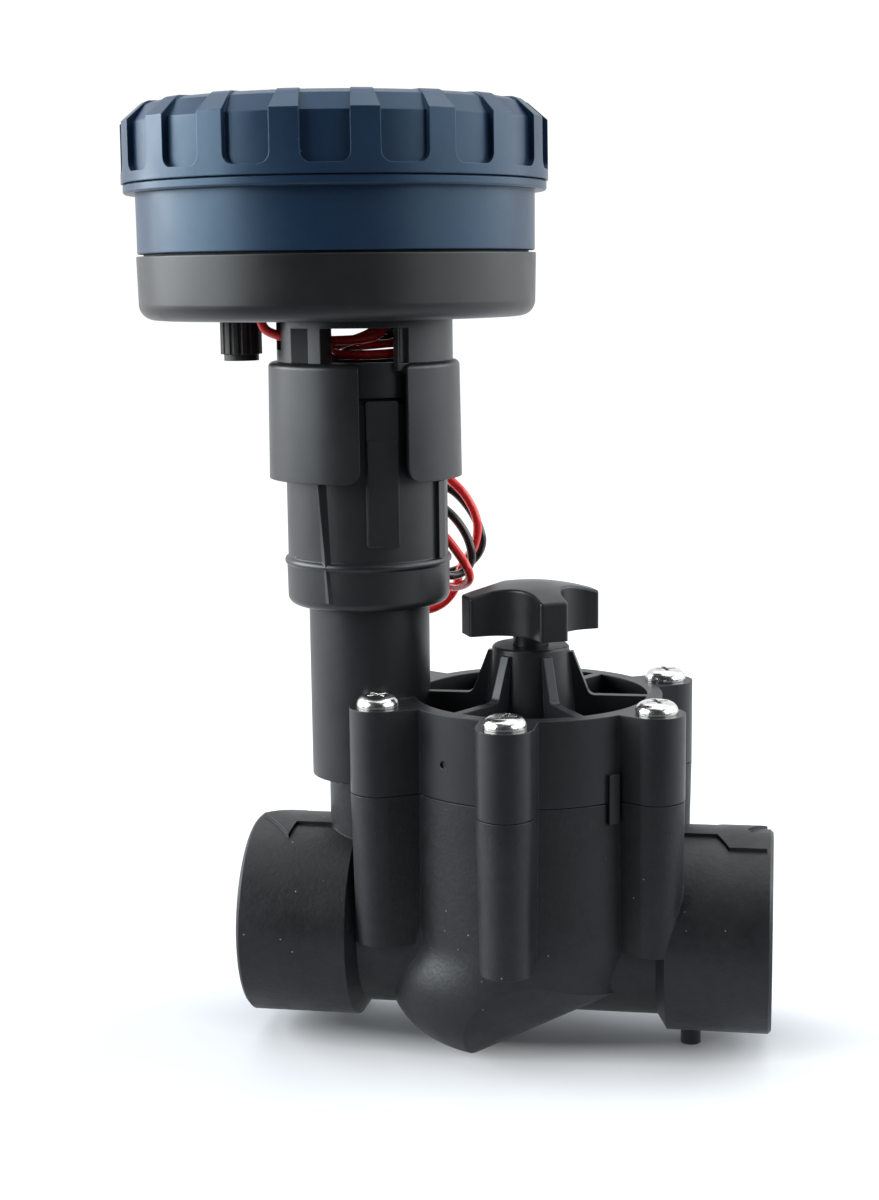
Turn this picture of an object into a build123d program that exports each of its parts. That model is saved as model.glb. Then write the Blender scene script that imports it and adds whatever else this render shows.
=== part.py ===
from build123d import *
import os
from math import cos, sin, tan, radians, degrees, atan2, pi

os.makedirs("parts", exist_ok=True)

# ------------------------------------------------------------------
# Frame: origin in the middle of the flat foot under the valve, on the
# surface that it stands on. +X runs along the flow axis towards the
# inlet, +Z is up. Millimetres.
# ------------------------------------------------------------------

# main stations
z_flow = 26.0                    # flow axis above the floor
x_bonnet = 13.0                  # axis of seat, diaphragm and flow control
x_tower = x_bonnet - 35.3        # axis of the solenoid tower
x_cup = x_bonnet - 35.5          # axis of the bracket's collar
x_post = x_bonnet - 35.25        # axis of the bracket's posts
x_ctrl = x_bonnet - 40.9         # axis of the round controller

# pipe ports
port_r = 21.86
neck_r = 18.7
x_outlet = x_bonnet - 61.65
x_inlet = x_bonnet + 52.35
port_bore_r = 15.15              # minor radius of a 1 inch female pipe thread
port_bore_len = 20.0
passage_r = 12.5

# valve body
wall_r = 28.3
bowl_r_corner = 16.8
bowl_shift = 4.0                 # the rounded lower part sits this much towards the outlet
slope_x = x_bonnet - 9.2         # where the slanted underside leaves the floor
slope_deg = 26.6
z_seam = z_flow + 33.3           # joint between body and bonnet
z_rim = z_flow + 51.5            # top of the bonnet's rim and bosses
boss_circle_r = 33.8
x_bolts = x_bonnet - 1.2           # centre of the screw pattern
boss_r = 6.0
screw_head_r = 4.45
column_bottom = z_flow + 0.3
seat_top = z_flow + 20.0
chamber_floor = z_flow + 14.5
screw_hole_r = 2.05

# flow control
z_hub = z_flow + 62.2
hub_top_r = 8.3
hub_base_r = 10.6
rim_inner_r = 25.1
pocket_floor = z_flow + 40.0
cap_ceiling = z_flow + 37.8      # roof of the control chamber
stem_neck_r = 3.8
stem_thread_r = 5.2
handle_bottom = z_flow + 65.2
handle_top = z_flow + 75.9
handle_r = 14.7
arm_half = 3.1
handle_turn_deg = 27.0           # how far the cross is turned from the flow axis

# solenoid
tower_r = 13.05
z_tower_top = z_flow + 71.0
z_sol_bottom = z_flow + 71.25
z_sol_top = z_flow + 116.0
sol_r = 17.3

# bracket between solenoid and controller
z_cup_bottom = z_flow + 98.6
z_cup_top = z_flow + 123.25
cup_top_r = 20.4
cup_bottom_r = 20.7
cup_bore_r = 18.3
post_r = 18.75
post_in_r = 16.3

# controller
z_base = z_flow + 132.3
z_bat = z_flow + 138.3             # underside of the battery
z_base_top = z_flow + 145.45
z_band = z_flow + 145.9
z_flange = z_flow + 158.2
z_cover = z_flow + 160.25
z_cover_side = z_flow + 172.55
z_cover_top = z_flow + 176.4
flange_r = 44.4
band_r = 41.9
cover_r = 44.75
flute_count = 18
flute_width = 9.7
flute_depth = 1.35
flute_first_deg = -80.0

lead_d = 2.0


def level(z, x=0.0, y=0.0):
    return Plane((x, y, z))


def save(part, label):
    part.label = label
    export_step(part, "parts/" + label + ".step")


def polar(x0, r, deg):
    return (x0 + r * cos(radians(deg)), r * sin(radians(deg)))


def side_plane(x0, deg, z=0.0):
    # upright plane through the axis at x0, its normal pointing outwards
    # at the given bearing, its local x tangential and its local y up
    n = Vector(cos(radians(deg)), sin(radians(deg)), 0)
    t = Vector(-sin(radians(deg)), cos(radians(deg)), 0)
    return Plane(origin=(x0, 0, z), x_dir=t, z_dir=n)


boss_deg = [30 + 60 * k for k in range(6)]

# ------------------------------------------------------------------
# valve_body: ports, neck, bowl, columns, seat and passages
# ------------------------------------------------------------------
slope_dir = Vector(cos(radians(slope_deg)), 0, sin(radians(slope_deg)))
slope_up = Vector(-sin(radians(slope_deg)), 0, cos(radians(slope_deg)))

# pot with a rounded bottom edge; its lower part leans towards the outlet
z_lean = 27.4
with BuildPart() as pot:
    with BuildSketch(Plane((x_bonnet - bowl_shift, 0, 0), x_dir=(1, 0, 0), z_dir=(0, -1, 0))):
        with BuildLine():
            Polyline((0, 0), (wall_r - bowl_r_corner, 0))
            RadiusArc((wall_r - bowl_r_corner, 0), (wall_r, bowl_r_corner), -bowl_r_corner)
            Polyline((wall_r, bowl_r_corner), (0, bowl_r_corner), (0, 0))
        make_face()
    revolve(axis=Axis((x_bonnet - bowl_shift, 0, 0), (0, 0, 1)), revolution_arc=360)
    for step in range(7):
        rise = step / 6
        with BuildSketch(
            level(bowl_r_corner + rise * (z_lean - bowl_r_corner), x_bonnet - bowl_shift * (1 - rise * rise * (3 - 2 * rise)))
        ):
            Circle(wall_r)
    loft()
    with BuildSketch(level(z_lean, x_bonnet)):
        Circle(wall_r)
    extrude(amount=z_seam - z_lean)

# slanted trough with rounded lower edges, which trims the pot's underside
with BuildPart() as trough:
    with BuildSketch(Plane(origin=(slope_x, 0, 0), x_dir=(0, 1, 0), z_dir=slope_dir)):
        with Locations((0, 45)):
            Rectangle(60, 90)
    extrude(amount=90, both=True)
    fillet(
        trough.edges().filter_by(Axis((0, 0, 0), slope_dir)).group_by(Axis((0, 0, 0), slope_up))[0],
        radius=23.0,
    )

# the same trough, one wall thickness further in, for the cavity
with BuildPart() as trough_in:
    with BuildSketch(
        Plane(origin=(slope_x - 3.4 * sin(radians(slope_deg)), 0, 3.4 * cos(radians(slope_deg))), x_dir=(0, 1, 0), z_dir=slope_dir)
    ):
        with Locations((0, 45)):
            Rectangle(53.2, 90)
    extrude(amount=90, both=True)
    fillet(
        trough_in.edges().filter_by(Axis((0, 0, 0), slope_dir)).group_by(Axis((0, 0, 0), slope_up))[0],
        radius=19.6,
    )

with BuildPart() as outlet_cavity:
    with BuildSketch(level(3.4, x_bonnet - 3)):
        Circle(wall_r - 4.8)
    extrude(amount=z_flow + 10.5 - 3.4)
    fillet(outlet_cavity.edges().sort_by(Axis.Z)[0], radius=12.5)
    with BuildSketch(level(0, x_bonnet)):
        with Locations((35, 0)):
            Rectangle(50, 80)
    extrude(amount=80, mode=Mode.SUBTRACT)
    add(trough_in.part, mode=Mode.INTERSECT)

x_axis = Axis((0, 0, z_flow), (1, 0, 0))
flow_side = Plane(origin=(0, 0, z_flow), x_dir=(1, 0, 0), z_dir=(0, -1, 0))

# both ports with the neck between them and the raised flow arrow
with BuildPart() as ports:
    with BuildSketch(flow_side):
        with BuildLine():
            Polyline(
                (x_outlet, 0),
                (x_outlet, port_r - 0.7),
                (x_outlet + 0.7, port_r),
                (x_bonnet - 37.7, port_r),
                (x_bonnet - 35.6, neck_r),
                (x_bonnet + 28.2, neck_r),
                (x_bonnet + 30.2, port_r),
                (x_inlet - 0.7, port_r),
                (x_inlet, port_r - 0.7),
                (x_inlet, 0),
                (x_outlet, 0),
            )
        make_face()
    revolve(axis=x_axis, revolution_arc=360)
    # head on the outlet port, tail on the inlet port
    with BuildSketch(level(z_flow + 15)):
        with BuildLine():
            Polyline(
                (x_bonnet - 36.5, -4.3),
                (x_bonnet - 51.6, -4.3),
                (x_bonnet - 52.4, -9.3),
                (x_bonnet - 60.2, 0),
                (x_bonnet - 52.4, 9.3),
                (x_bonnet - 51.6, 4.3),
                (x_bonnet - 36.5, 4.3),
                (x_bonnet - 36.5, -4.3),
            )
        make_face()
        with BuildLine():
            Polyline(
                (x_bonnet + 29.5, -3.6),
                (x_bonnet + 40.3, -3.6),
                (x_bonnet + 43.0, -8.6),
                (x_bonnet + 51.0, -8.6),
                (x_bonnet + 46.6, 0),
                (x_bonnet + 51.0, 8.6),
                (x_bonnet + 43.0, 8.6),
                (x_bonnet + 40.3, 3.6),
                (x_bonnet + 29.5, 3.6),
                (x_bonnet + 29.5, -3.6),
            )
        make_face()
    extrude(amount=12)
    # trim the arrow's upper side to a skin over the ports
    with BuildSketch(flow_side):
        with BuildLine():
            Polyline(
                (x_outlet, port_r + 0.75),
                (x_inlet, port_r + 0.75),
                (x_inlet, port_r + 9),
                (x_outlet, port_r + 9),
                (x_outlet, port_r + 0.75),
            )
        make_face()
    revolve(axis=x_axis, revolution_arc=360, mode=Mode.SUBTRACT)

with BuildPart() as valve_body:
    add(pot.part)
    add(trough.part, mode=Mode.INTERSECT)
    add(ports.part)
    # pilot column under the tower
    with BuildSketch(level(z_flow, x_tower)):
        Circle(9.4)
    extrude(amount=z_seam - z_flow)
    # screw columns
    for deg in boss_deg:
        with BuildSketch(Plane(origin=(x_bolts, 0, z_seam), x_dir=(cos(radians(deg)), sin(radians(deg)), 0), z_dir=(0, 0, -1))):
            with Locations((boss_circle_r, 0)):
                Circle(boss_r)
            with Locations(((boss_circle_r + 22) / 2, 0)):
                Rectangle(boss_circle_r - 22, 2 * boss_r)
        extrude(amount=z_seam - column_bottom, taper=1.0)
    # foot under the inlet port
    with BuildSketch(level(0, x_bonnet + 35.0)):
        Circle(2.2)
    extrude(amount=8)
    # rear foot under the outlet port
    with BuildSketch(level(0, -31.2, 13.2)):
        RectangleRounded(6.4, 6.4, 1.5)
    extrude(amount=13.0, taper=-2.0)

    # outlet cavity in the bowl, then the passages
    add(outlet_cavity.part, mode=Mode.SUBTRACT)
    with BuildSketch(Plane.YZ.offset(x_outlet)):
        with Locations((0, z_flow)):
            Circle(passage_r)
    extrude(amount=x_bonnet - 2 - x_outlet, mode=Mode.SUBTRACT)
    with BuildSketch(Plane.YZ.offset(x_outlet)):
        with Locations((0, z_flow)):
            Circle(port_bore_r)
    extrude(amount=port_bore_len, mode=Mode.SUBTRACT)
    with BuildSketch(Plane.YZ.offset(x_inlet)):
        with Locations((0, z_flow)):
            Circle(passage_r)
    extrude(amount=-(x_inlet - x_bonnet - 14.0), mode=Mode.SUBTRACT)
    with BuildSketch(Plane.YZ.offset(x_inlet)):
        with Locations((0, z_flow)):
            Circle(port_bore_r)
    extrude(amount=-port_bore_len, mode=Mode.SUBTRACT)
    # ring chamber round the seat
    with BuildSketch(level(chamber_floor, x_bonnet)):
        Circle(24.3)
        Circle(13.2, mode=Mode.SUBTRACT)
    extrude(amount=z_seam - chamber_floor, mode=Mode.SUBTRACT)
    with BuildSketch(level(seat_top, x_bonnet)):
        Circle(14.0)
    extrude(amount=z_seam - seat_top, mode=Mode.SUBTRACT)
    # seat bore down to the outlet cavity
    with BuildSketch(level(z_flow, x_bonnet)):
        Circle(10.4)
    extrude(amount=30, mode=Mode.SUBTRACT)
    # kidney opening from the inlet passage up into the ring chamber
    with BuildSketch(level(z_flow + 2, x_bonnet)):
        with BuildLine():
            CenterArc((0, 0), 23.5, -32, 64)
            CenterArc((0, 0), 14.2, -32, 64)
            Line(polar(0, 14.2, -32), polar(0, 23.5, -32))
            Line(polar(0, 14.2, 32), polar(0, 23.5, 32))
        make_face()
    extrude(amount=14, mode=Mode.SUBTRACT)
    # ledge for the diaphragm's rim
    with BuildSketch(level(z_seam - 2.2, x_bonnet)):
        Circle(26.1)
    extrude(amount=4, mode=Mode.SUBTRACT)
    # screw holes
    with BuildSketch(level(z_seam, x_bolts)):
        with PolarLocations(boss_circle_r, 6, start_angle=30):
            Circle(screw_hole_r)
    extrude(amount=-12.0, mode=Mode.SUBTRACT)
    # narrow step round the top, which shows as the seam under the bonnet
    with BuildSketch(level(z_seam)):
        with Locations((x_bonnet, 0)):
            Rectangle(120, 120)
            Circle(wall_r - 0.6, mode=Mode.SUBTRACT)
        with Locations((x_tower, 0)):
            Circle(8.8, mode=Mode.SUBTRACT)
        with Locations((x_bolts, 0)):
            with PolarLocations(boss_circle_r, 6, start_angle=30):
                Circle(boss_r - 0.6, mode=Mode.SUBTRACT)
            with PolarLocations((boss_circle_r + 22) / 2, 6, start_angle=30):
                Rectangle(boss_circle_r - 22, 2 * (boss_r - 0.6), mode=Mode.SUBTRACT)
    extrude(amount=-0.2, mode=Mode.SUBTRACT)
    # pilot return down to the outlet, with a counterbore for its seal
    with BuildSketch(level(z_seam, x_tower - 2)):
        Circle(1.6)
    extrude(amount=-24, mode=Mode.SUBTRACT)
    with BuildSketch(level(z_seam, x_tower - 2)):
        Circle(4.2)
    extrude(amount=-1.6, mode=Mode.SUBTRACT)
save(valve_body.part, "valve_body")

# ------------------------------------------------------------------
# bonnet: wall, screw bosses, ribbed crown, hub and solenoid tower
# ------------------------------------------------------------------
bonnet_side = Plane((x_bonnet, 0, 0), x_dir=(1, 0, 0), z_dir=(0, -1, 0))
with BuildPart() as bonnet:
    with BuildSketch(level(z_seam)):
        with Locations((x_bonnet, 0)):
            Circle(wall_r)
        with Locations((x_bolts, 0)):
            with PolarLocations(boss_circle_r, 6, start_angle=30):
                Circle(boss_r)
            with PolarLocations((boss_circle_r + 22) / 2, 6, start_angle=30):
                Rectangle(boss_circle_r - 22, 2 * boss_r)
    extrude(amount=z_rim - z_seam)
    # tower
    with BuildSketch(level(z_seam, x_tower)):
        Circle(tower_r)
    extrude(amount=z_tower_top - z_seam)
    # open crown: pocket all round the hub
    with BuildSketch(level(pocket_floor, x_bonnet)):
        Circle(rim_inner_r)
    extrude(amount=z_rim - pocket_floor, mode=Mode.SUBTRACT)
    # the tower's own material again, where the pocket cut it
    with BuildSketch(level(z_seam, x_tower)):
        Circle(tower_r)
    extrude(amount=z_tower_top - z_seam)
    # hub
    with BuildSketch(bonnet_side):
        with BuildLine():
            Polyline(
                (0, pocket_floor - 1),
                (hub_base_r, pocket_floor - 1),
                (hub_top_r, z_hub - 0.4),
                (hub_top_r - 0.4, z_hub),
                (0, z_hub),
                (0, pocket_floor - 1),
            )
        make_face()
    revolve(axis=Axis((x_bonnet, 0, 0), (0, 0, 1)), revolution_arc=360)
    # six gusset ribs
    for k in range(6):
        with BuildSketch(Plane(origin=(x_bonnet, 0, 0), x_dir=(cos(radians(60 * k)), sin(radians(60 * k)), 0), z_dir=(sin(radians(60 * k)), -cos(radians(60 * k)), 0))):
            with BuildLine():
                Polyline(
                    (5.5, pocket_floor - 1),
                    (5.5, z_hub - 1.3),
                    (9.2, z_hub - 1.3),
                    (12.3, z_rim + 1.3),
                )
                ThreePointArc((12.3, z_rim + 1.3), (12.85, z_rim + 0.4), (13.9, z_rim))
                Polyline((13.9, z_rim), (rim_inner_r + 0.6, z_rim), (rim_inner_r + 0.6, pocket_floor - 1), (5.5, pocket_floor - 1))
            make_face()
        extrude(amount=1.0, both=True)
    # control chamber under the crown
    with BuildSketch(level(z_seam, x_bonnet)):
        Circle(23.5)
    extrude(amount=cap_ceiling - z_seam, mode=Mode.SUBTRACT)
    # guide ring for the thrust cap
    with BuildSketch(level(z_flow + 33.6, x_bonnet)):
        Circle(7.4)
        Circle(5.4, mode=Mode.SUBTRACT)
        Rectangle(20, 2.5, mode=Mode.SUBTRACT)
    extrude(amount=cap_ceiling - z_flow - 33.6 + 0.1)
    # stem bores
    with BuildSketch(level(cap_ceiling - 0.5, x_bonnet)):
        Circle(stem_thread_r + 0.1)
    extrude(amount=z_hub - 4.0 - cap_ceiling + 0.5, mode=Mode.SUBTRACT)
    with BuildSketch(level(z_hub - 5, x_bonnet)):
        Circle(stem_neck_r + 0.1)
    extrude(amount=8, mode=Mode.SUBTRACT)
    # clearance holes for the screws
    with BuildSketch(level(z_seam - 1, x_bolts)):
        with PolarLocations(boss_circle_r, 6, start_angle=30):
            Circle(2.3)
    extrude(amount=z_rim - z_seam + 3, mode=Mode.SUBTRACT)
    # solenoid socket, nozzle, return and supply passages
    with BuildSketch(level(z_flow + 54, x_tower)):
        Circle(10.6)
        Circle(2.0, mode=Mode.SUBTRACT)
    extrude(amount=z_tower_top - z_flow - 54 + 1, mode=Mode.SUBTRACT)
    with BuildSketch(level(z_flow + 60.4, x_tower)):
        Circle(3.0)
    extrude(amount=12, mode=Mode.SUBTRACT)
    with BuildSketch(level(z_flow + 36.5, x_tower)):
        Circle(0.8)
    extrude(amount=26, mode=Mode.SUBTRACT)
    with BuildSketch(level(z_seam, x_tower - 2)):
        Circle(1.6)
    extrude(amount=5.0, mode=Mode.SUBTRACT)
    with BuildSketch(level(z_flow + 36.2, x_tower - 1)):
        Rectangle(3.6, 1.8)
    extrude(amount=1.6, mode=Mode.SUBTRACT)
    with BuildSketch(level(z_flow + 35.2, x_tower + 6.5)):
        Circle(1.1)
    extrude(amount=20, mode=Mode.SUBTRACT)
    with BuildSketch(Plane.YZ.offset(x_tower + 6.5)):
        with Locations((0, z_flow + 35.9)):
            Circle(1.1)
    extrude(amount=8, mode=Mode.SUBTRACT)
    # alignment tabs lapping over the body, near the inlet side
    for sgn in (-1, 1):
        with BuildSketch(level(z_seam - 4.5, x_bonnet)):
            with BuildLine():
                CenterArc((0, 0), 29.2, sgn * 47 - 2.7, 5.4)
                CenterArc((0, 0), wall_r + 0.15, sgn * 47 - 2.7, 5.4)
                Line(polar(0, wall_r + 0.15, sgn * 47 - 2.7), polar(0, 29.2, sgn * 47 - 2.7))
                Line(polar(0, wall_r + 0.15, sgn * 47 + 2.7), polar(0, 29.2, sgn * 47 + 2.7))
            make_face()
        extrude(amount=z_flow + 39.3 - z_seam + 4.5)
        with BuildSketch(level(z_seam, x_bonnet)):
            with BuildLine():
                CenterArc((0, 0), 29.2, sgn * 47 - 2.7, 5.4)
                CenterArc((0, 0), wall_r - 0.6, sgn * 47 - 2.7, 5.4)
                Line(polar(0, wall_r - 0.6, sgn * 47 - 2.7), polar(0, 29.2, sgn * 47 - 2.7))
                Line(polar(0, wall_r - 0.6, sgn * 47 + 2.7), polar(0, 29.2, sgn * 47 + 2.7))
            make_face()
        extrude(amount=z_flow + 39.3 - z_seam)
    # moulding gate mark on the front wall
    with BuildSketch(side_plane(x_bonnet, -123.2).offset(wall_r - 0.5)):
        with Locations((0, z_flow + 40.9)):
            Circle(0.8)
    extrude(amount=3, mode=Mode.SUBTRACT)
save(bonnet.part, "bonnet")

# six pan-head screws, one node
with BuildPart() as bonnet_screws:
    with BuildSketch(level(z_rim, x_bolts)):
        with PolarLocations(boss_circle_r, 6, start_angle=30):
            Circle(screw_head_r)
    extrude(amount=2.5)
    fillet(bonnet_screws.edges().filter_by(GeomType.CIRCLE).group_by(Axis.Z)[-1], radius=2.1)
    with BuildSketch(level(z_rim, x_bolts)):
        with PolarLocations(boss_circle_r, 6, start_angle=30):
            Circle(2.0)
    extrude(amount=-(z_rim - z_seam + 11.0))
    for k, deg in enumerate(boss_deg):
        with BuildSketch(level(z_rim + 1.3, *polar(x_bolts, boss_circle_r, deg))):
            Rectangle(4.6, 0.95, rotation=20 + 37 * k)
            Rectangle(0.95, 4.6, rotation=20 + 37 * k)
        extrude(amount=3, mode=Mode.SUBTRACT)
save(bonnet_screws.part, "bonnet_screws")

# O-ring between body and bonnet round the pilot return
with BuildPart() as pilot_seal:
    with BuildSketch(level(z_seam - 1.6, x_tower - 2)):
        Circle(4.0)
        Circle(2.2, mode=Mode.SUBTRACT)
    extrude(amount=1.6)
    fillet(pilot_seal.edges(), radius=0.4)
save(pilot_seal.part, "pilot_seal")

# ------------------------------------------------------------------
# diaphragm assembly
# ------------------------------------------------------------------
with BuildPart() as diaphragm:
    with BuildSketch(bonnet_side):
        with BuildLine():
            Polyline(
                (4.2, z_flow + 22.0),
                (15.6, z_flow + 22.0),
                (21.6, z_flow + 31.1),
                (26.0, z_flow + 31.1),
                (26.0, z_flow + 33.3),
                (20.6, z_flow + 33.3),
                (14.8, z_flow + 23.8),
                (4.2, z_flow + 23.8),
                (4.2, z_flow + 22.0),
            )
        make_face()
    revolve(axis=Axis((x_bonnet, 0, 0), (0, 0, 1)), revolution_arc=360)
save(diaphragm.part, "diaphragm")

with BuildPart() as diaphragm_plate:
    with BuildSketch(level(z_flow + 23.8, x_bonnet)):
        Circle(13.6)
    extrude(amount=1.8)
    with BuildSketch(level(z_flow + 25.6, x_bonnet)):
        Circle(7.0)
    extrude(amount=1.0)
    with BuildSketch(level(z_flow + 18.2, x_bonnet)):
        Circle(4.1)
    extrude(amount=6.0)
    with BuildSketch(level(z_flow + 18.0, x_bonnet)):
        Circle(1.6)
    extrude(amount=7.0, mode=Mode.SUBTRACT)
save(diaphragm_plate.part, "diaphragm_plate")

with BuildPart() as seat_washer:
    with BuildSketch(level(seat_top, x_bonnet)):
        Circle(12.8)
        Circle(4.2, mode=Mode.SUBTRACT)
    extrude(amount=2.0)
save(seat_washer.part, "seat_washer")

with BuildPart() as seat_retainer:
    with BuildSketch(level(z_flow + 16.2, x_bonnet)):
        Circle(9.2)
    extrude(amount=3.8)
    with BuildSketch(level(z_flow + 18.2, x_bonnet)):
        Circle(4.15)
    extrude(amount=3, mode=Mode.SUBTRACT)
    with BuildSketch(level(z_flow + 14, x_bonnet)):
        Circle(1.65)
    extrude(amount=6, mode=Mode.SUBTRACT)
    fillet(seat_retainer.edges().filter_by(GeomType.CIRCLE).group_by(Axis.Z)[0].sort_by(SortBy.RADIUS)[-1], radius=1.2)
save(seat_retainer.part, "seat_retainer")

with BuildPart() as retainer_screw:
    with BuildSketch(level(z_flow + 14.2, x_bonnet)):
        Circle(3.2)
    extrude(amount=2.0)
    with BuildSketch(level(z_flow + 16.2, x_bonnet)):
        Circle(1.55)
    extrude(amount=8.0)
    with BuildSketch(level(z_flow + 14.2, x_bonnet)):
        Rectangle(4.2, 0.9)
        Rectangle(0.9, 4.2)
    extrude(amount=1.2, mode=Mode.SUBTRACT)
save(retainer_screw.part, "retainer_screw")


def coil_spring(x0, z0, z1, mean_r, wire_r, turns, label):
    # closed-end compression spring, laid up as a helix of round wire
    helix = Helix(pitch=(z1 - z0 - 2.2 * wire_r) / turns, height=z1 - z0 - 2.2 * wire_r, radius=mean_r, center=(x0, 0, z0 + 1.1 * wire_r))
    with BuildPart() as spring:
        with BuildLine():
            add(helix)
        with BuildSketch(Plane(origin=helix @ 0, z_dir=helix % 0)):
            Circle(wire_r)
        sweep(is_frenet=True)
    save(spring.part, label)


coil_spring(x_bonnet, z_flow + 25.65, cap_ceiling, 10.2, 0.65, 3.5, "diaphragm_spring")

# ------------------------------------------------------------------
# flow control: stem, its seal, the thrust cap and the cross handle
# ------------------------------------------------------------------
with BuildPart() as flow_stem:
    with BuildSketch(level(z_flow + 34.0, x_bonnet)):
        Circle(2.6)
    extrude(amount=14.0)
    with BuildSketch(level(z_flow + 43.5, x_bonnet)):
        Circle(stem_thread_r)
    extrude(amount=9.5)
    with BuildSketch(level(z_flow + 53.0, x_bonnet)):
        Circle(stem_neck_r)
    extrude(amount=handle_bottom - z_flow - 53.0)
    with BuildSketch(level(handle_bottom, x_bonnet)):
        Rectangle(4.6, 4.6, rotation=handle_turn_deg)
    extrude(amount=6.5)
    # seal groove
    with BuildSketch(level(z_flow + 58.6, x_bonnet)):
        Circle(stem_neck_r + 1)
        Circle(2.5, mode=Mode.SUBTRACT)
    extrude(amount=1.5, mode=Mode.SUBTRACT)
save(flow_stem.part, "flow_stem")

with BuildPart() as stem_oring:
    with BuildSketch(level(z_flow + 58.7, x_bonnet)):
        Circle(3.84)
        Circle(2.55, mode=Mode.SUBTRACT)
    extrude(amount=1.3)
    fillet(stem_oring.edges(), radius=0.35)
save(stem_oring.part, "stem_oring")

with BuildPart() as thrust_cap:
    with BuildSketch(level(z_flow + 31.6, x_bonnet)):
        Circle(5.0)
        Rectangle(13.6, 2.2)
    extrude(amount=1.6)
    with BuildSketch(level(z_flow + 33.2, x_bonnet)):
        Circle(5.0)
    extrude(amount=3.4)
    with BuildSketch(level(z_flow + 33.95, x_bonnet)):
        Circle(2.7)
    extrude(amount=6, mode=Mode.SUBTRACT)
save(thrust_cap.part, "thrust_cap")

handle_plane = Plane(
    origin=(x_bonnet, 0, handle_bottom),
    x_dir=(cos(radians(handle_turn_deg)), sin(radians(handle_turn_deg)), 0),
    z_dir=(0, 0, 1),
)
with BuildPart() as flow_handle:
    with BuildSketch(handle_plane) as cross:
        Rectangle(2 * handle_r, 2 * arm_half)
        Rectangle(2 * arm_half, 2 * handle_r)
        inner = [v for v in cross.vertices() if Vector(v.X, v.Y, 0).length < 6]
        assert len(inner) == 4
        fillet(inner, radius=8.5)
    extrude(amount=handle_top - handle_bottom)
    fillet(flow_handle.edges().filter_by(Axis.Z), radius=0.7)
    # domed top
    with BuildSketch(Plane((x_bonnet, 0, 0), x_dir=(1, 0, 0), z_dir=(0, -1, 0))):
        with BuildLine():
            ThreePointArc((0, handle_top), (8.6, handle_top - 0.85), (17.5, handle_top - 3.4))
            Polyline((17.5, handle_top - 3.4), (17.5, handle_top + 3), (0, handle_top + 3), (0, handle_top))
        make_face()
    revolve(axis=Axis((x_bonnet, 0, 0), (0, 0, 1)), revolution_arc=360, mode=Mode.SUBTRACT)
    domed = [f for f in flow_handle.faces() if f.geom_type == GeomType.SPHERE]
    if not domed:
        domed = [flow_handle.faces().sort_by(Axis.Z)[-1]]
    fillet(domed[0].edges(), radius=0.6)
    # socket for the stem's square
    with BuildSketch(level(handle_bottom, x_bonnet)):
        Rectangle(4.7, 4.7, rotation=handle_turn_deg)
    extrude(amount=6.6, mode=Mode.SUBTRACT)
save(flow_handle.part, "flow_handle")

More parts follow.
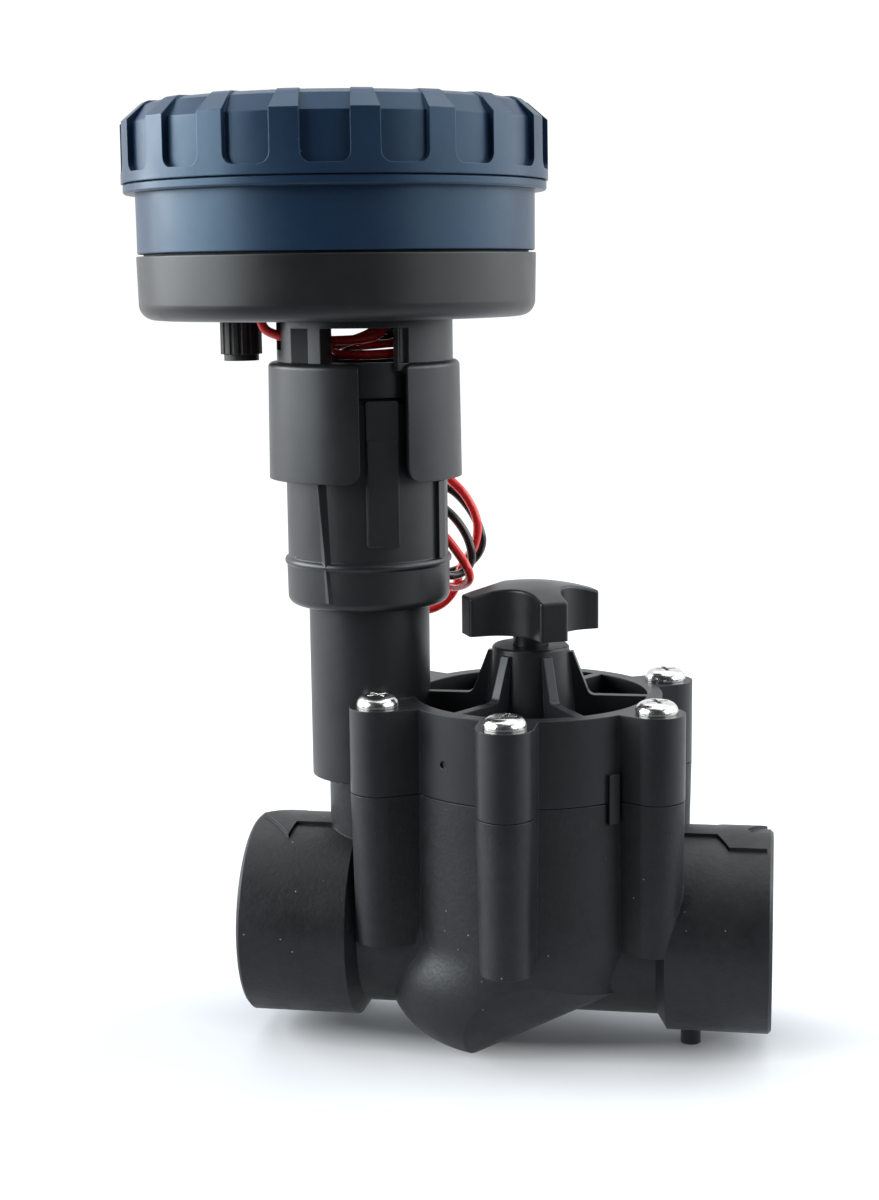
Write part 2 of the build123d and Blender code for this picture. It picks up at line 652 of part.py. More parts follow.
# ------------------------------------------------------------------
# solenoid
# ------------------------------------------------------------------
tower_side = Plane((x_tower, 0, 0), x_dir=(1, 0, 0), z_dir=(0, -1, 0))
tower_axis = Axis((x_tower, 0, 0), (0, 0, 1))
zs = z_flow
with BuildPart() as solenoid_housing:
    with BuildSketch(tower_side):
        with BuildLine():
            Polyline((0, zs + 55.6), (10.0, zs + 55.6), (10.4, zs + 56.0), (10.4, z_sol_bottom), (15.6, z_sol_bottom))
            RadiusArc((15.6, z_sol_bottom), (17.5, z_sol_bottom + 1.9), -1.9)
            Polyline((17.5, z_sol_bottom + 1.9), (17.6, zs + 79.9))
            RadiusArc((17.6, zs + 79.9), (17.6, zs + 81.5), -0.95)
            Polyline((17.6, zs + 81.5), (sol_r, zs + 81.7), (sol_r, z_sol_top - 1.2), (sol_r - 1.2, z_sol_top), (0, z_sol_top), (0, zs + 55.6))
        make_face()
    revolve(axis=tower_axis, revolution_arc=360)
    # slanted three-sided rib at the left of the front
    def rib_triangle(z, share, height):
        a, b = polar(x_tower, sol_r - 0.6, -117), polar(x_tower, sol_r - 0.6, -103)
        deg = -117 + 14 * share
        return Plane.XY.offset(z), [a, b, polar(x_tower, sol_r + height, deg), a]
    for (p0, t0), (p1, t1) in [(rib_triangle(zs + 73.2, 0.78, 0.75), rib_triangle(zs + 98.2, 0.28, 0.85))]:
        with BuildSketch(p0):
            with BuildLine():
                Polyline(*t0)
            make_face()
        with BuildSketch(p1):
            with BuildLine():
                Polyline(*t1)
            make_face()
        loft(ruled=True)
    # straight rib at the right
    with BuildSketch(side_plane(x_tower, -18, 0)):
        with Locations((0, zs + 89.9)):
            Rectangle(2.6, 16.4)
    extrude(amount=sol_r + 0.8)
    # label panel: a plain raised pad inside the bracket's front slot
    with BuildSketch(side_plane(x_tower, -67.5, 0)) as pad:
        with Locations((0, zs + 100.3)):
            Rectangle(6.9, 30.4)
        fillet(pad.vertices(), radius=0.6)
    extrude(amount=sol_r + 0.35)
    with BuildSketch(side_plane(x_tower, -67.5, 0)) as pad2:
        with Locations((0, zs + 96.4)):
            Rectangle(6.5, 22.0)
        fillet(pad2.vertices(), radius=0.4)
    extrude(amount=sol_r + 0.5)
    # cavity for the coil and the bore for the core tube
    with BuildSketch(level(zs + 76.0, x_tower)):
        Circle(15.0)
    extrude(amount=z_sol_top - zs - 76.0 + 1, mode=Mode.SUBTRACT)
    with BuildSketch(level(zs + 54, x_tower)):
        Circle(6.25)
    extrude(amount=30, mode=Mode.SUBTRACT)
    # O-ring groove on the screwed spigot
    with BuildSketch(level(zs + 57.2, x_tower)):
        Circle(12)
        Circle(9.0, mode=Mode.SUBTRACT)
    extrude(amount=1.9, mode=Mode.SUBTRACT)
    # two lead outlets at the back
    with BuildSketch(Plane.XZ):
        with Locations((x_tower - 2.4, zs + 111.5), (x_tower + 2.4, zs + 111.5)):
            Circle(lead_d / 2 + 0.02)
    extrude(amount=-20, mode=Mode.SUBTRACT)
save(solenoid_housing.part, "solenoid_housing")

with BuildPart() as solenoid_oring:
    with BuildSketch(level(zs + 57.3, x_tower)):
        Circle(10.5)
        Circle(9.05, mode=Mode.SUBTRACT)
    extrude(amount=1.7)
    fillet(solenoid_oring.edges(), radius=0.45)
save(solenoid_oring.part, "solenoid_oring")

with BuildPart() as solenoid_end_cap:
    with BuildSketch(level(z_sol_top - 2.6, x_tower)):
        Circle(14.5)
    extrude(amount=2.6)
    chamfer(solenoid_end_cap.edges().group_by(Axis.Z)[-1], length=0.5)
save(solenoid_end_cap.part, "solenoid_end_cap")

with BuildPart() as coil_bobbin:
    with BuildSketch(level(zs + 76.2, x_tower)):
        Circle(14.2)
    extrude(amount=1.6)
    with BuildSketch(level(zs + 77.8, x_tower)):
        Circle(7.4)
    extrude(amount=29.0)
    with BuildSketch(level(zs + 106.8, x_tower)):
        Circle(14.2)
    extrude(amount=1.6)
    with BuildSketch(level(zs + 76, x_tower)):
        Circle(6.2)
    extrude(amount=34, mode=Mode.SUBTRACT)
save(coil_bobbin.part, "coil_bobbin")

with BuildPart() as coil_winding:
    with BuildSketch(level(zs + 77.9, x_tower)):
        Circle(12.2)
        Circle(7.5, mode=Mode.SUBTRACT)
    extrude(amount=28.8)
save(coil_winding.part, "coil_winding")

with BuildPart() as core_tube:
    with BuildSketch(level(zs + 56.0, x_tower)):
        Circle(6.1)
        Circle(5.1, mode=Mode.SUBTRACT)
    extrude(amount=48.0)
save(core_tube.part, "core_tube")

with BuildPart() as pole_piece:
    with BuildSketch(level(zs + 92.2, x_tower)):
        Circle(5.0)
    extrude(amount=12.0)
save(pole_piece.part, "pole_piece")

with BuildPart() as latch_magnet:
    with BuildSketch(level(zs + 104.4, x_tower)):
        Circle(5.9)
    extrude(amount=4.2)
save(latch_magnet.part, "latch_magnet")

with BuildPart() as plunger:
    with BuildSketch(level(zs + 62.0, x_tower)):
        Circle(5.02)
    extrude(amount=28.0)
    with BuildSketch(level(zs + 80.0, x_tower)):
        Circle(3.0)
    extrude(amount=12.0, mode=Mode.SUBTRACT)
    with BuildSketch(level(zs + 61.0, x_tower)):
        Circle(2.6)
    extrude(amount=3.0, mode=Mode.SUBTRACT)
    for deg in (0, 90, 180, 270):
        with BuildSketch(level(zs + 61, *polar(x_tower, 5.1, deg))):
            Circle(0.8)
        extrude(amount=30, mode=Mode.SUBTRACT)
save(plunger.part, "plunger")

with BuildPart() as plunger_seal:
    with BuildSketch(level(zs + 60.5, x_tower)):
        Circle(2.5)
    extrude(amount=3.4)
save(plunger_seal.part, "plunger_seal")

coil_spring(x_tower, zs + 80.1, zs + 92.1, 2.3, 0.35, 6, "plunger_spring")

# ------------------------------------------------------------------
# bracket: collar over the solenoid, two posts and a mounting ring
# ------------------------------------------------------------------
cup_side = Plane((x_cup, 0, 0), x_dir=(1, 0, 0), z_dir=(0, -1, 0))
cup_axis = Axis((x_cup, 0, 0), (0, 0, 1))
slot_mid = -67.2
slot_half = 5.15


def slot_cutter(deg, half, bottom, top, corner, top_corner=0):
    # slot open at its bottom, with the lips' corners rounded off
    with BuildSketch(side_plane(x_cup, deg, 0), mode=Mode.PRIVATE) as s:
        with Locations((0, (bottom - 1 + top) / 2)):
            Rectangle(2 * half, top - bottom + 1)
        with Locations((0, bottom + corner / 2)):
            Rectangle(2 * (half + corner), corner)
        with Locations((-half - corner, bottom + corner), (half + corner, bottom + corner)):
            Circle(corner, mode=Mode.SUBTRACT)
        if top_corner:
            with Locations((0, top - top_corner / 2)):
                Rectangle(2 * (half + top_corner), top_corner)
            with Locations((-half - top_corner, top - top_corner), (half + top_corner, top - top_corner)):
                Circle(top_corner, mode=Mode.SUBTRACT)
    return s


with BuildPart() as bracket:
    with BuildSketch(cup_side):
        with BuildLine():
            Polyline((0, z_cup_bottom), (cup_bottom_r, z_cup_bottom), (cup_top_r, z_cup_top - 1.2))
            RadiusArc((cup_top_r, z_cup_top - 1.2), (cup_top_r - 1.2, z_cup_top), -1.2)
            Polyline((cup_top_r - 1.2, z_cup_top), (0, z_cup_top), (0, z_cup_bottom))
        make_face()
    revolve(axis=cup_axis, revolution_arc=360)
    with BuildSketch(level(z_cup_bottom - 1, x_tower)):
        Circle(cup_bore_r)
    extrude(amount=z_cup_top - 2.2 - z_cup_bottom + 1, mode=Mode.SUBTRACT)
    with BuildSketch(level(z_cup_top - 4, x_tower)):
        Circle(13.2)
    extrude(amount=6, mode=Mode.SUBTRACT)
    front = slot_cutter(slot_mid, slot_half, z_cup_bottom, z_cup_top, 3.0, 1.4)
    extrude(front.sketch, amount=30, mode=Mode.SUBTRACT)
    # the top web behind the slot, with an apron down to the solenoid's cap
    for z0, z1, r0, half_deg in ((z_cup_top - 2.2, z_cup_top, 13.2, 31), (z_sol_top + 0.05, z_cup_top - 2.2, 14.9, 29)):
        with BuildSketch(level(z0, x_tower)):
            with BuildLine():
                CenterArc((0, 0), 16.9, slot_mid - half_deg, 2 * half_deg)
                CenterArc((0, 0), r0, slot_mid - half_deg, 2 * half_deg)
                Line(polar(0, r0, slot_mid - half_deg), polar(0, 16.9, slot_mid - half_deg))
                Line(polar(0, r0, slot_mid + half_deg), polar(0, 16.9, slot_mid + half_deg))
            make_face()
        extrude(amount=z1 - z0)
    back = slot_cutter(90, 12.0, z_cup_bottom, z_cup_top - 2.8, 2.5)
    extrude(back.sketch, amount=30, mode=Mode.SUBTRACT)
    # inner lugs that grip the solenoid
    with BuildSketch(level(z_cup_bottom + 1, x_tower)):
        with PolarLocations(18.45, 4, start_angle=0, angular_range=360):
            Circle(1.1)
        Circle(sol_r + 0.05, mode=Mode.SUBTRACT)
        with Locations((0, 18)):
            Rectangle(10, 6, mode=Mode.SUBTRACT)
        with Locations((0, -18)):
            Rectangle(10, 6, mode=Mode.SUBTRACT)
    extrude(amount=18)
    # posts; the left one is thicker where its front has a flat recess
    for lo, hi, r0 in ((131, 252.5, post_in_r), (-57.3, 49, post_in_r), (221.0, 252.5, 14.1)):
        with BuildSketch(level(z_cup_top - 1.6, x_post)):
            with BuildLine():
                CenterArc((0, 0), post_r, lo, hi - lo)
                CenterArc((0, 0), r0, lo, hi - lo)
                Line(polar(0, r0, lo), polar(0, post_r, lo))
                Line(polar(0, r0, hi), polar(0, post_r, hi))
            make_face()
        extrude(amount=z_base - z_cup_top + 1.6)
    with BuildSketch(level(z_cup_top, x_post)):
        with BuildLine():
            Polyline((-13.0, -13.6), (-8.5, -14.5), (-8.5, -20), (-13.0, -20), (-13.0, -13.6))
        make_face()
    extrude(amount=z_base - z_cup_top, mode=Mode.SUBTRACT)
    # shallow upright grooves in the posts' outer faces
    with BuildSketch(level(z_cup_top, x_post)):
        with Locations(polar(0, post_r + 0.3, -53.2), polar(0, post_r + 0.3, 150), polar(0, post_r + 0.3, 30)):
            Circle(1.15)
    extrude(amount=z_base - z_cup_top, mode=Mode.SUBTRACT)
    # ring that carries the controller
    with BuildSketch(level(z_base - 1.9, x_post)):
        Circle(post_r)
        Circle(11.5, mode=Mode.SUBTRACT)
    extrude(amount=1.9)
    # wire notch in the left post
    with BuildSketch(side_plane(x_post, 204, 0)):
        with Locations((0, z_base - 3.7)):
            Rectangle(5.2, 5.6)
    extrude(amount=30, mode=Mode.SUBTRACT)
    # holes for the two screws that hold the controller
    with BuildSketch(level(z_base - 3, x_post)):
        with Locations((-14.0, 0), (14.0, 0)):
            Circle(1.6)
    extrude(amount=6, mode=Mode.SUBTRACT)
save(bracket.part, "bracket")

# two pan-head screws from below into the controller's base
with BuildPart() as bracket_screws:
    with BuildSketch(level(z_base - 1.9 - 1.7, x_post)):
        with Locations((-14.0, 0), (14.0, 0)):
            Circle(2.2)
    extrude(amount=1.7)
    with BuildSketch(level(z_base - 1.9, x_post)):
        with Locations((-14.0, 0), (14.0, 0)):
            Circle(1.5)
    extrude(amount=6.8)
save(bracket_screws.part, "bracket_screws")

# ------------------------------------------------------------------
# controller case
# ------------------------------------------------------------------
ctrl_side = Plane((x_ctrl, 0, 0), x_dir=(1, 0, 0), z_dir=(0, -1, 0))
ctrl_axis = Axis((x_ctrl, 0, 0), (0, 0, 1))

grommet_xy = (x_bonnet - 29.6, -2.7)
lead_holes = [(x_bonnet - 31.8, -1.2), (x_bonnet - 27.4, -1.2), (x_bonnet - 29.6, -4.9)]
sensor_xy = (x_bonnet - 62.4, 0.0)
sensor_hole = (x_bonnet - 55.7, -8.8)

with BuildPart() as controller_base:
    with BuildSketch(ctrl_side):
        with BuildLine():
            Polyline((0, z_base), (38.7, z_base))
            ThreePointArc((38.7, z_base), (41.0, z_base + 1.0), (41.95, z_base + 3.3))
            Polyline((41.95, z_base + 3.3), (42.15, z_base_top - 0.15), (42.0, z_base_top), (0, z_base_top), (0, z_base))
        make_face()
    revolve(axis=ctrl_axis, revolution_arc=360)
    with BuildSketch(level(z_base + 2.1, x_ctrl)):
        Circle(39.0)
    extrude(amount=20, mode=Mode.SUBTRACT)
    # pillars for the bracket's screws and for the case screws
    with BuildSketch(level(z_base, x_post)):
        with Locations((-14.0, 0), (14.0, 0)):
            Circle(3.0)
    extrude(amount=5.8)
    with BuildSketch(level(z_base, x_ctrl)):
        with PolarLocations(34.5, 4, start_angle=45):
            Circle(3.2)
    extrude(amount=9.2)
    # ribs that the battery rests on
    with BuildSketch(level(z_base, x_ctrl)):
        with Locations((-18.0, 6.0), (19.65, 6.0)):
            Rectangle(1.8, 22.0)
    extrude(amount=z_bat - z_base)
    with BuildSketch(level(z_base, x_post)):
        with Locations((-14.0, 0), (14.0, 0)):
            Circle(1.55)
    extrude(amount=5.2, mode=Mode.SUBTRACT)
    with BuildSketch(level(z_base - 1, x_ctrl)):
        with PolarLocations(34.5, 4, start_angle=45):
            Circle(1.6)
    extrude(amount=14, mode=Mode.SUBTRACT)
    with BuildSketch(level(z_base, x_ctrl)):
        with PolarLocations(34.5, 4, start_angle=45):
            Circle(2.9)
    extrude(amount=2.0, mode=Mode.SUBTRACT)
    # holes for the lead grommet and the sensor port
    with BuildSketch(level(z_base - 1)):
        with Locations(grommet_xy):
            Rectangle(9.0, 8.0)
        with Locations(sensor_xy):
            Circle(2.6)
        with Locations(sensor_hole):
            Circle(lead_d / 2 + 0.02)
    extrude(amount=6, mode=Mode.SUBTRACT)
save(controller_base.part, "controller_base")

# four case screws, heads sunk in the underside
with BuildPart() as case_screws:
    with BuildSketch(level(z_base + 0.3, x_ctrl)):
        with PolarLocations(34.5, 4, start_angle=45):
            Circle(2.7)
    extrude(amount=1.7)
    with BuildSketch(level(z_base + 2.0, x_ctrl)):
        with PolarLocations(34.5, 4, start_angle=45):
            Circle(1.4)
    extrude(amount=12.2)
    for deg in (45, 135, 225, 315):
        with BuildSketch(level(z_base + 0.3, *polar(x_ctrl, 34.5, deg))):
            Rectangle(3.4, 0.8)
            Rectangle(0.8, 3.4)
        extrude(amount=1.0, mode=Mode.SUBTRACT)
save(case_screws.part, "case_screws")

with BuildPart() as base_seal:
    with BuildSketch(level(z_base_top, x_ctrl)):
        Circle(40.6)
        Circle(39.45, mode=Mode.SUBTRACT)
    extrude(amount=z_band - z_base_top)
save(base_seal.part, "base_seal")

# grommet with three wire holes in the base's floor
with BuildPart() as lead_grommet:
    with BuildSketch(level(z_base + 0.05)):
        with Locations(grommet_xy):
            Rectangle(8.9, 7.9)
    extrude(amount=3.4)
    with BuildSketch(level(z_base - 1)):
        with Locations(*lead_holes):
            Circle(lead_d / 2 + 0.02)
    extrude(amount=8, mode=Mode.SUBTRACT)
save(lead_grommet.part, "lead_grommet")

# knurled screw cap on the sensor port under the base
with BuildPart() as sensor_port_cap:
    with BuildSketch(level(z_flow + 123.3)):
        with Locations(sensor_xy):
            Circle(3.75)
    extrude(amount=1.4)
    with BuildSketch(level(z_flow + 124.7)):
        with Locations(sensor_xy):
            Circle(4.45)
    extrude(amount=z_base - z_flow - 124.7 - 0.2)
    with BuildSketch(level(z_flow + 124.7)):
        with Locations(sensor_xy):
            with PolarLocations(4.65, 14):
                Circle(0.48)
    extrude(amount=8, mode=Mode.SUBTRACT)
    with BuildSketch(level(z_base - 0.2)):
        with Locations(sensor_xy):
            Circle(2.5)
    extrude(amount=4.2)
save(sensor_port_cap.part, "sensor_port_cap")

with BuildPart() as housing:
    with BuildSketch(ctrl_side):
        with BuildLine():
            Polyline(
                (37.0, z_flow + 141.6),
                (38.85, z_flow + 141.6),
                (38.85, z_band),
                (41.7, z_band),
                (41.9, z_band + 0.2),
                (41.95, z_flange),
                (flange_r - 0.3, z_flange),
                (flange_r, z_flange + 0.3),
                (flange_r, z_cover - 0.4),
                (flange_r - 0.35, z_cover - 0.05),
                (41.0, z_cover - 0.05),
                (41.0, z_flow + 167.2),
                (40.6, z_flow + 167.6),
                (39.0, z_flow + 167.6),
                (39.0, z_flow + 163.6),
                (37.4, z_flow + 163.6),
                (37.4, z_flow + 162.2),
                (39.4, z_flow + 160.6),
                (39.4, z_band + 3.4),
                (37.0, z_band + 1.4),
                (37.0, z_flow + 141.6),
            )
        make_face()
    revolve(axis=ctrl_axis, revolution_arc=360)
    # pillars that take the case screws
    with BuildSketch(level(z_flow + 141.7, x_ctrl)):
        with PolarLocations(34.5, 4, start_angle=45):
            Circle(3.2)
            with Locations((1.9, 0)):
                Rectangle(3.6, 5)
    extrude(amount=8)
    with BuildSketch(level(z_flow + 141, x_ctrl)):
        with PolarLocations(34.5, 4, start_angle=45):
            Circle(1.45)
    extrude(amount=6, mode=Mode.SUBTRACT)
save(housing.part, "housing")

# ------------------------------------------------------------------
# cover: ribbed screw-off cap with a domed crown
# ------------------------------------------------------------------
def cover_profile(cut):
    # outer section of the cover, drawn in by cut all round its side
    return [
        (0, z_cover),
        (cover_r - cut, z_cover),
        (cover_r - 0.1 - cut, z_cover_side - 0.35 * cut),
        (40.9 - 0.1 * cut, z_cover_top - 0.6 - 0.25 * cut),
    ]


with BuildPart() as cover:
    with BuildSketch(ctrl_side):
        with BuildLine():
            Polyline(*cover_profile(0))
            ThreePointArc((40.9, z_cover_top - 0.6), (40.25, z_cover_top - 0.17), (39.2, z_cover_top))
            ThreePointArc((39.2, z_cover_top), (20, z_cover_top + 0.75), (0, z_cover_top + 1.0))
            Line((0, z_cover_top + 1.0), (0, z_cover))
        make_face()
    revolve(axis=ctrl_axis, revolution_arc=360)
    # grip flutes
    for k in range(flute_count):
        with BuildSketch(side_plane(x_ctrl, flute_first_deg + 360 / flute_count * k, 0)) as flute:
            with Locations((0, z_flow + 162.3 + 10)):
                Rectangle(flute_width, 20)
            fillet(flute.vertices().group_by(Axis.Z)[0], radius=2.2)
        with Locations((0, 0)):
            extrude(amount=60, mode=Mode.SUBTRACT)
    with BuildSketch(ctrl_side):
        with BuildLine():
            Polyline(*cover_profile(flute_depth))
            ThreePointArc((40.9 - 0.1 * flute_depth, z_cover_top - 0.6 - 0.25 * flute_depth), (39.6, z_cover_top - 0.42), (38.2, z_cover_top - 0.1))
            Line((38.2, z_cover_top - 0.1), (0, z_cover_top - 0.1))
            Line((0, z_cover_top - 0.1), (0, z_cover))
        make_face()
    revolve(axis=ctrl_axis, revolution_arc=360)
    with BuildSketch(ctrl_side):
        with BuildLine():
            Polyline((0, z_cover_top - 2), (37.0, z_cover_top - 2), (37.2, z_cover_top))
            ThreePointArc((37.2, z_cover_top), (20, z_cover_top + 0.75), (0, z_cover_top + 1.0))
            Line((0, z_cover_top + 1.0), (0, z_cover_top - 2))
        make_face()
    revolve(axis=ctrl_axis, revolution_arc=360)
    # hollow inside: seat for the gasket, bore over the housing, room over the face
    with BuildSketch(level(z_cover - 1, x_ctrl)):
        Circle(42.9)
    extrude(amount=1 + 2.2, mode=Mode.SUBTRACT)
    with BuildSketch(level(z_cover, x_ctrl)):
        Circle(41.45)
    extrude(amount=z_flow + 170.4 - z_cover, mode=Mode.SUBTRACT)
    with BuildSketch(level(z_cover, x_ctrl)):
        Circle(38.4)
    extrude(amount=z_flow + 174.9 - z_cover, mode=Mode.SUBTRACT)
save(cover.part, "cover")

with BuildPart() as cover_gasket:
    with BuildSketch(level(z_cover + 0.05, x_ctrl)):
        Circle(42.7)
        Circle(41.1, mode=Mode.SUBTRACT)
    extrude(amount=2.0)
    fillet(cover_gasket.edges(), radius=0.4)
save(cover_gasket.part, "cover_gasket")

# ------------------------------------------------------------------
# face, display and buttons under the cover
# ------------------------------------------------------------------
z_face = z_flow + 163.65
button_xy = [(-21.0, -19.0), (-7.0, -21.5), (7.0, -21.5), (21.0, -19.0)]
pillar_xy = [(-31.5, 8.0), (31.5, 8.0), (0, -31.5)]
z_board = z_flow + 157.4
button_names = ["button_program", "button_back", "button_forward", "button_start"]

with BuildPart() as face_plate:
    with BuildSketch(level(z_face, x_ctrl)):
        Circle(38.9)
    extrude(amount=2.0)
    # raised bezel round the display
    with BuildSketch(level(z_face, x_ctrl)) as bezel:
        with Locations((0, 7)):
            Rectangle(54, 33)
        fillet(bezel.vertices(), radius=4)
    extrude(amount=3.6)
    with BuildSketch(level(z_face - 1, x_ctrl)) as lcd_hole:
        with Locations((0, 7)):
            Rectangle(46, 25)
        fillet(lcd_hole.vertices(), radius=1.5)
    extrude(amount=8, mode=Mode.SUBTRACT)
    with BuildSketch(level(z_face + 2.4, x_ctrl)) as lcd_step:
        with Locations((0, 7)):
            Rectangle(49, 28)
        fillet(lcd_step.vertices(), radius=2.0)
    extrude(amount=4, mode=Mode.SUBTRACT)
    with BuildSketch(level(z_face - 1, x_ctrl)):
        with Locations(*button_xy):
            Circle(4.3)
    extrude(amount=8, mode=Mode.SUBTRACT)
    # pillars that the circuit board hangs from
    with BuildSketch(level(z_board + 1.6, x_ctrl)):
        with Locations(*pillar_xy):
            Circle(2.4)
    extrude(amount=z_face - z_board - 1.5)
    with BuildSketch(level(z_board, x_ctrl)):
        with Locations(*pillar_xy):
            Circle(1.0)
    extrude(amount=6.0, mode=Mode.SUBTRACT)
save(face_plate.part, "face_plate")

with BuildPart() as display_window:
    with BuildSketch(level(z_face + 2.4, x_ctrl)) as pane:
        with Locations((0, 7)):
            Rectangle(48.8, 27.8)
        fillet(pane.vertices(), radius=1.9)
    extrude(amount=1.2)
save(display_window.part, "display_window")

with BuildPart() as display_module:
    with BuildSketch(level(z_board + 1.6, x_ctrl)) as module:
        with Locations((0, 7)):
            Rectangle(45.6, 24.6)
        fillet(module.vertices(), radius=1.6)
    extrude(amount=z_face + 1.6 - z_board - 1.6)
save(display_module.part, "display_module")

for name, (bx, by) in zip(button_names, button_xy):
    with BuildPart() as button:
        with BuildSketch(level(z_face - 1.2, x_ctrl)):
            with Locations((bx, by)):
                Circle(4.2)
        extrude(amount=5.0)
        fillet(button.edges().group_by(Axis.Z)[-1], radius=0.9)
        with BuildSketch(level(z_face - 2.2, x_ctrl)):
            with Locations((bx, by)):
                Circle(5.2)
        extrude(amount=1.0)
    save(button.part, name)

with BuildPart() as circuit_board:
    with BuildSketch(level(z_board, x_ctrl)):
        Circle(36.6)
        with Locations(*pillar_xy):
            Circle(1.1, mode=Mode.SUBTRACT)
    extrude(amount=1.6)
save(circuit_board.part, "circuit_board")

# three screws up through the board
with BuildPart() as board_screws:
    with BuildSketch(level(z_board - 1.6, x_ctrl)):
        with Locations(*pillar_xy):
            Circle(2.0)
    extrude(amount=1.6)
    with BuildSketch(level(z_board, x_ctrl)):
        with Locations(*pillar_xy):
            Circle(0.95)
    extrude(amount=5.4)
save(board_screws.part, "board_screws")

# tactile switches and other parts soldered to the board, one group
with BuildPart() as board_parts:
    with BuildSketch(level(z_board + 1.6, x_ctrl)):
        with Locations(*button_xy):
            Rectangle(6.0, 6.0)
    extrude(amount=1.2)
    with BuildSketch(level(z_board - 1.4, x_ctrl)):
        with Locations((-20, 16)):
            Rectangle(9, 9)
        with Locations((16, 20)):
            Rectangle(7, 5)
    extrude(amount=1.4)
    with BuildSketch(level(z_board - 3.6, x_ctrl)):
        with Locations((13, -24), (5, -26)):
            Circle(3.2)
    extrude(amount=3.6)
save(board_parts.part, "board_parts")

# 9 V block battery lying in the base, and its snap connector
with BuildPart() as battery:
    with BuildSketch(level(z_bat, x_ctrl)) as cell:
        with Locations((-0.2, 6.0)):
            Rectangle(46.4, 26.0)
        fillet(cell.vertices(), radius=2.0)
    extrude(amount=17.0)
    with BuildSketch(Plane.YZ.offset(x_ctrl + 22.9)):
        with Locations((6.0 - 6.4, z_bat + 8.5), (6.0 + 6.4, z_bat + 8.5)):
            Circle(3.0)
    extrude(amount=2.0)
save(battery.part, "battery")

with BuildPart() as battery_connector:
    with BuildSketch(level(z_bat + 2.0, x_ctrl)):
        with Locations((26.6, 6.0)):
            Rectangle(3.2, 24.0)
    extrude(amount=13.0)
save(battery_connector.part, "battery_connector")

# ------------------------------------------------------------------
# leads between solenoid and controller: straight runs and tangent arcs
# ------------------------------------------------------------------
def lead(label, route):
    pts = [Vector(*p) for p in route]
    radii = []
    for a, b, c in zip(pts, pts[1:], pts[2:]):
        turn = (b - a).get_angle(c - b)
        shorter = min((b - a).length, (c - b).length)
        radii.append(0.45 * shorter / tan(radians(turn) / 2))
    with BuildPart() as tube:
        with BuildLine() as path:
            FilletPolyline(*[tuple(p) for p in pts], radius=radii)
        wire = path.wire()
        with BuildSketch(Plane(origin=wire @ 0, z_dir=wire % 0)):
            Circle(lead_d / 2)
        sweep()
    length = wire.length
    print(label, "length", round(length, 1), "radii", [round(r, 1) for r in radii])
    print(label, "runs", [round((b - a).length, 1) for a, b in zip(pts, pts[1:])])
    print(label, "volume / (section x length)", round(tube.part.volume / (pi * lead_d**2 / 4 * length), 4))
    save(tube.part, label)


def rel(*pts):
    # stations given from the bonnet's axis and the flow axis
    return [(x_bonnet + x, y, z_flow + z) for x, y, z in pts]


lead_red_route = rel(
    (-32.9, 16.6, 111.5),
    (-32.9, 22.0, 111.3),
    (-31.2, 25.0, 108.8),
    (-30.4, 25.4, 105.3),
    (-25.8, 25.0, 99.5),
    (-21.3, 25.0, 95.2),
    (-17.4, 25.0, 91.3),
    (-14.7, 25.0, 85.4),
    (-15.7, 25.0, 79.4),
    (-19.2, 25.0, 75.2),
    (-19.9, 24.6, 70.2),
    (-23.4, 24.4, 66.0),
    (-28.5, 24.4, 64.5),
    (-35.1, 24.6, 66.7),
    (-40.3, 25.0, 71.2),
    (-42.0, 25.0, 77.3),
    (-38.8, 23.6, 83.0),
    (-32.3, 21.4, 86.1),
    (-26.3, 21.0, 85.8),
    (-22.1, 19.4, 83.5),
    (-18.6, 14.6, 80.6),
    (-15.4, 12.0, 77.0),
    (-15.1, 14.8, 73.2),
    (-19.7, 19.4, 71.0),
    (-25.1, 21.2, 71.8),
    (-33.3, 20.8, 73.8),
    (-41.2, 20.8, 77.0),
    (-46.1, 22.6, 84.0),
    (-47.4, 25.4, 92.4),
    (-46.2, 27.0, 101.0),
    (-44.2, 27.0, 107.5),
    (-43.4, 27.0, 114.8),
    (-43.0, 26.4, 121.2),
    (-42.4, 22.0, 125.2),
    (-42.9, 15.4, 125.6),
    (-42.0, 9.8, 125.7),
    (-37.4, 7.2, 126.0),
    (-31.0, 7.4, 126.6),
    (-25.6, 4.6, 126.8),
    (-23.6, -1.2, 126.0),
    (-26.2, -7.4, 125.0),
    (-32.2, -10.0, 124.7),
    (-37.8, -9.6, 124.7),
    (-41.4, -6.8, 125.0),
    (-42.2, -2.8, 125.9),
    (-39.6, -0.2, 126.9),
    (-36.4, -0.5, 127.9),
    (-33.6, -1.0, 129.0),
    (-31.8, -1.2, 130.9),
    (-31.8, -1.2, 133.4),
)
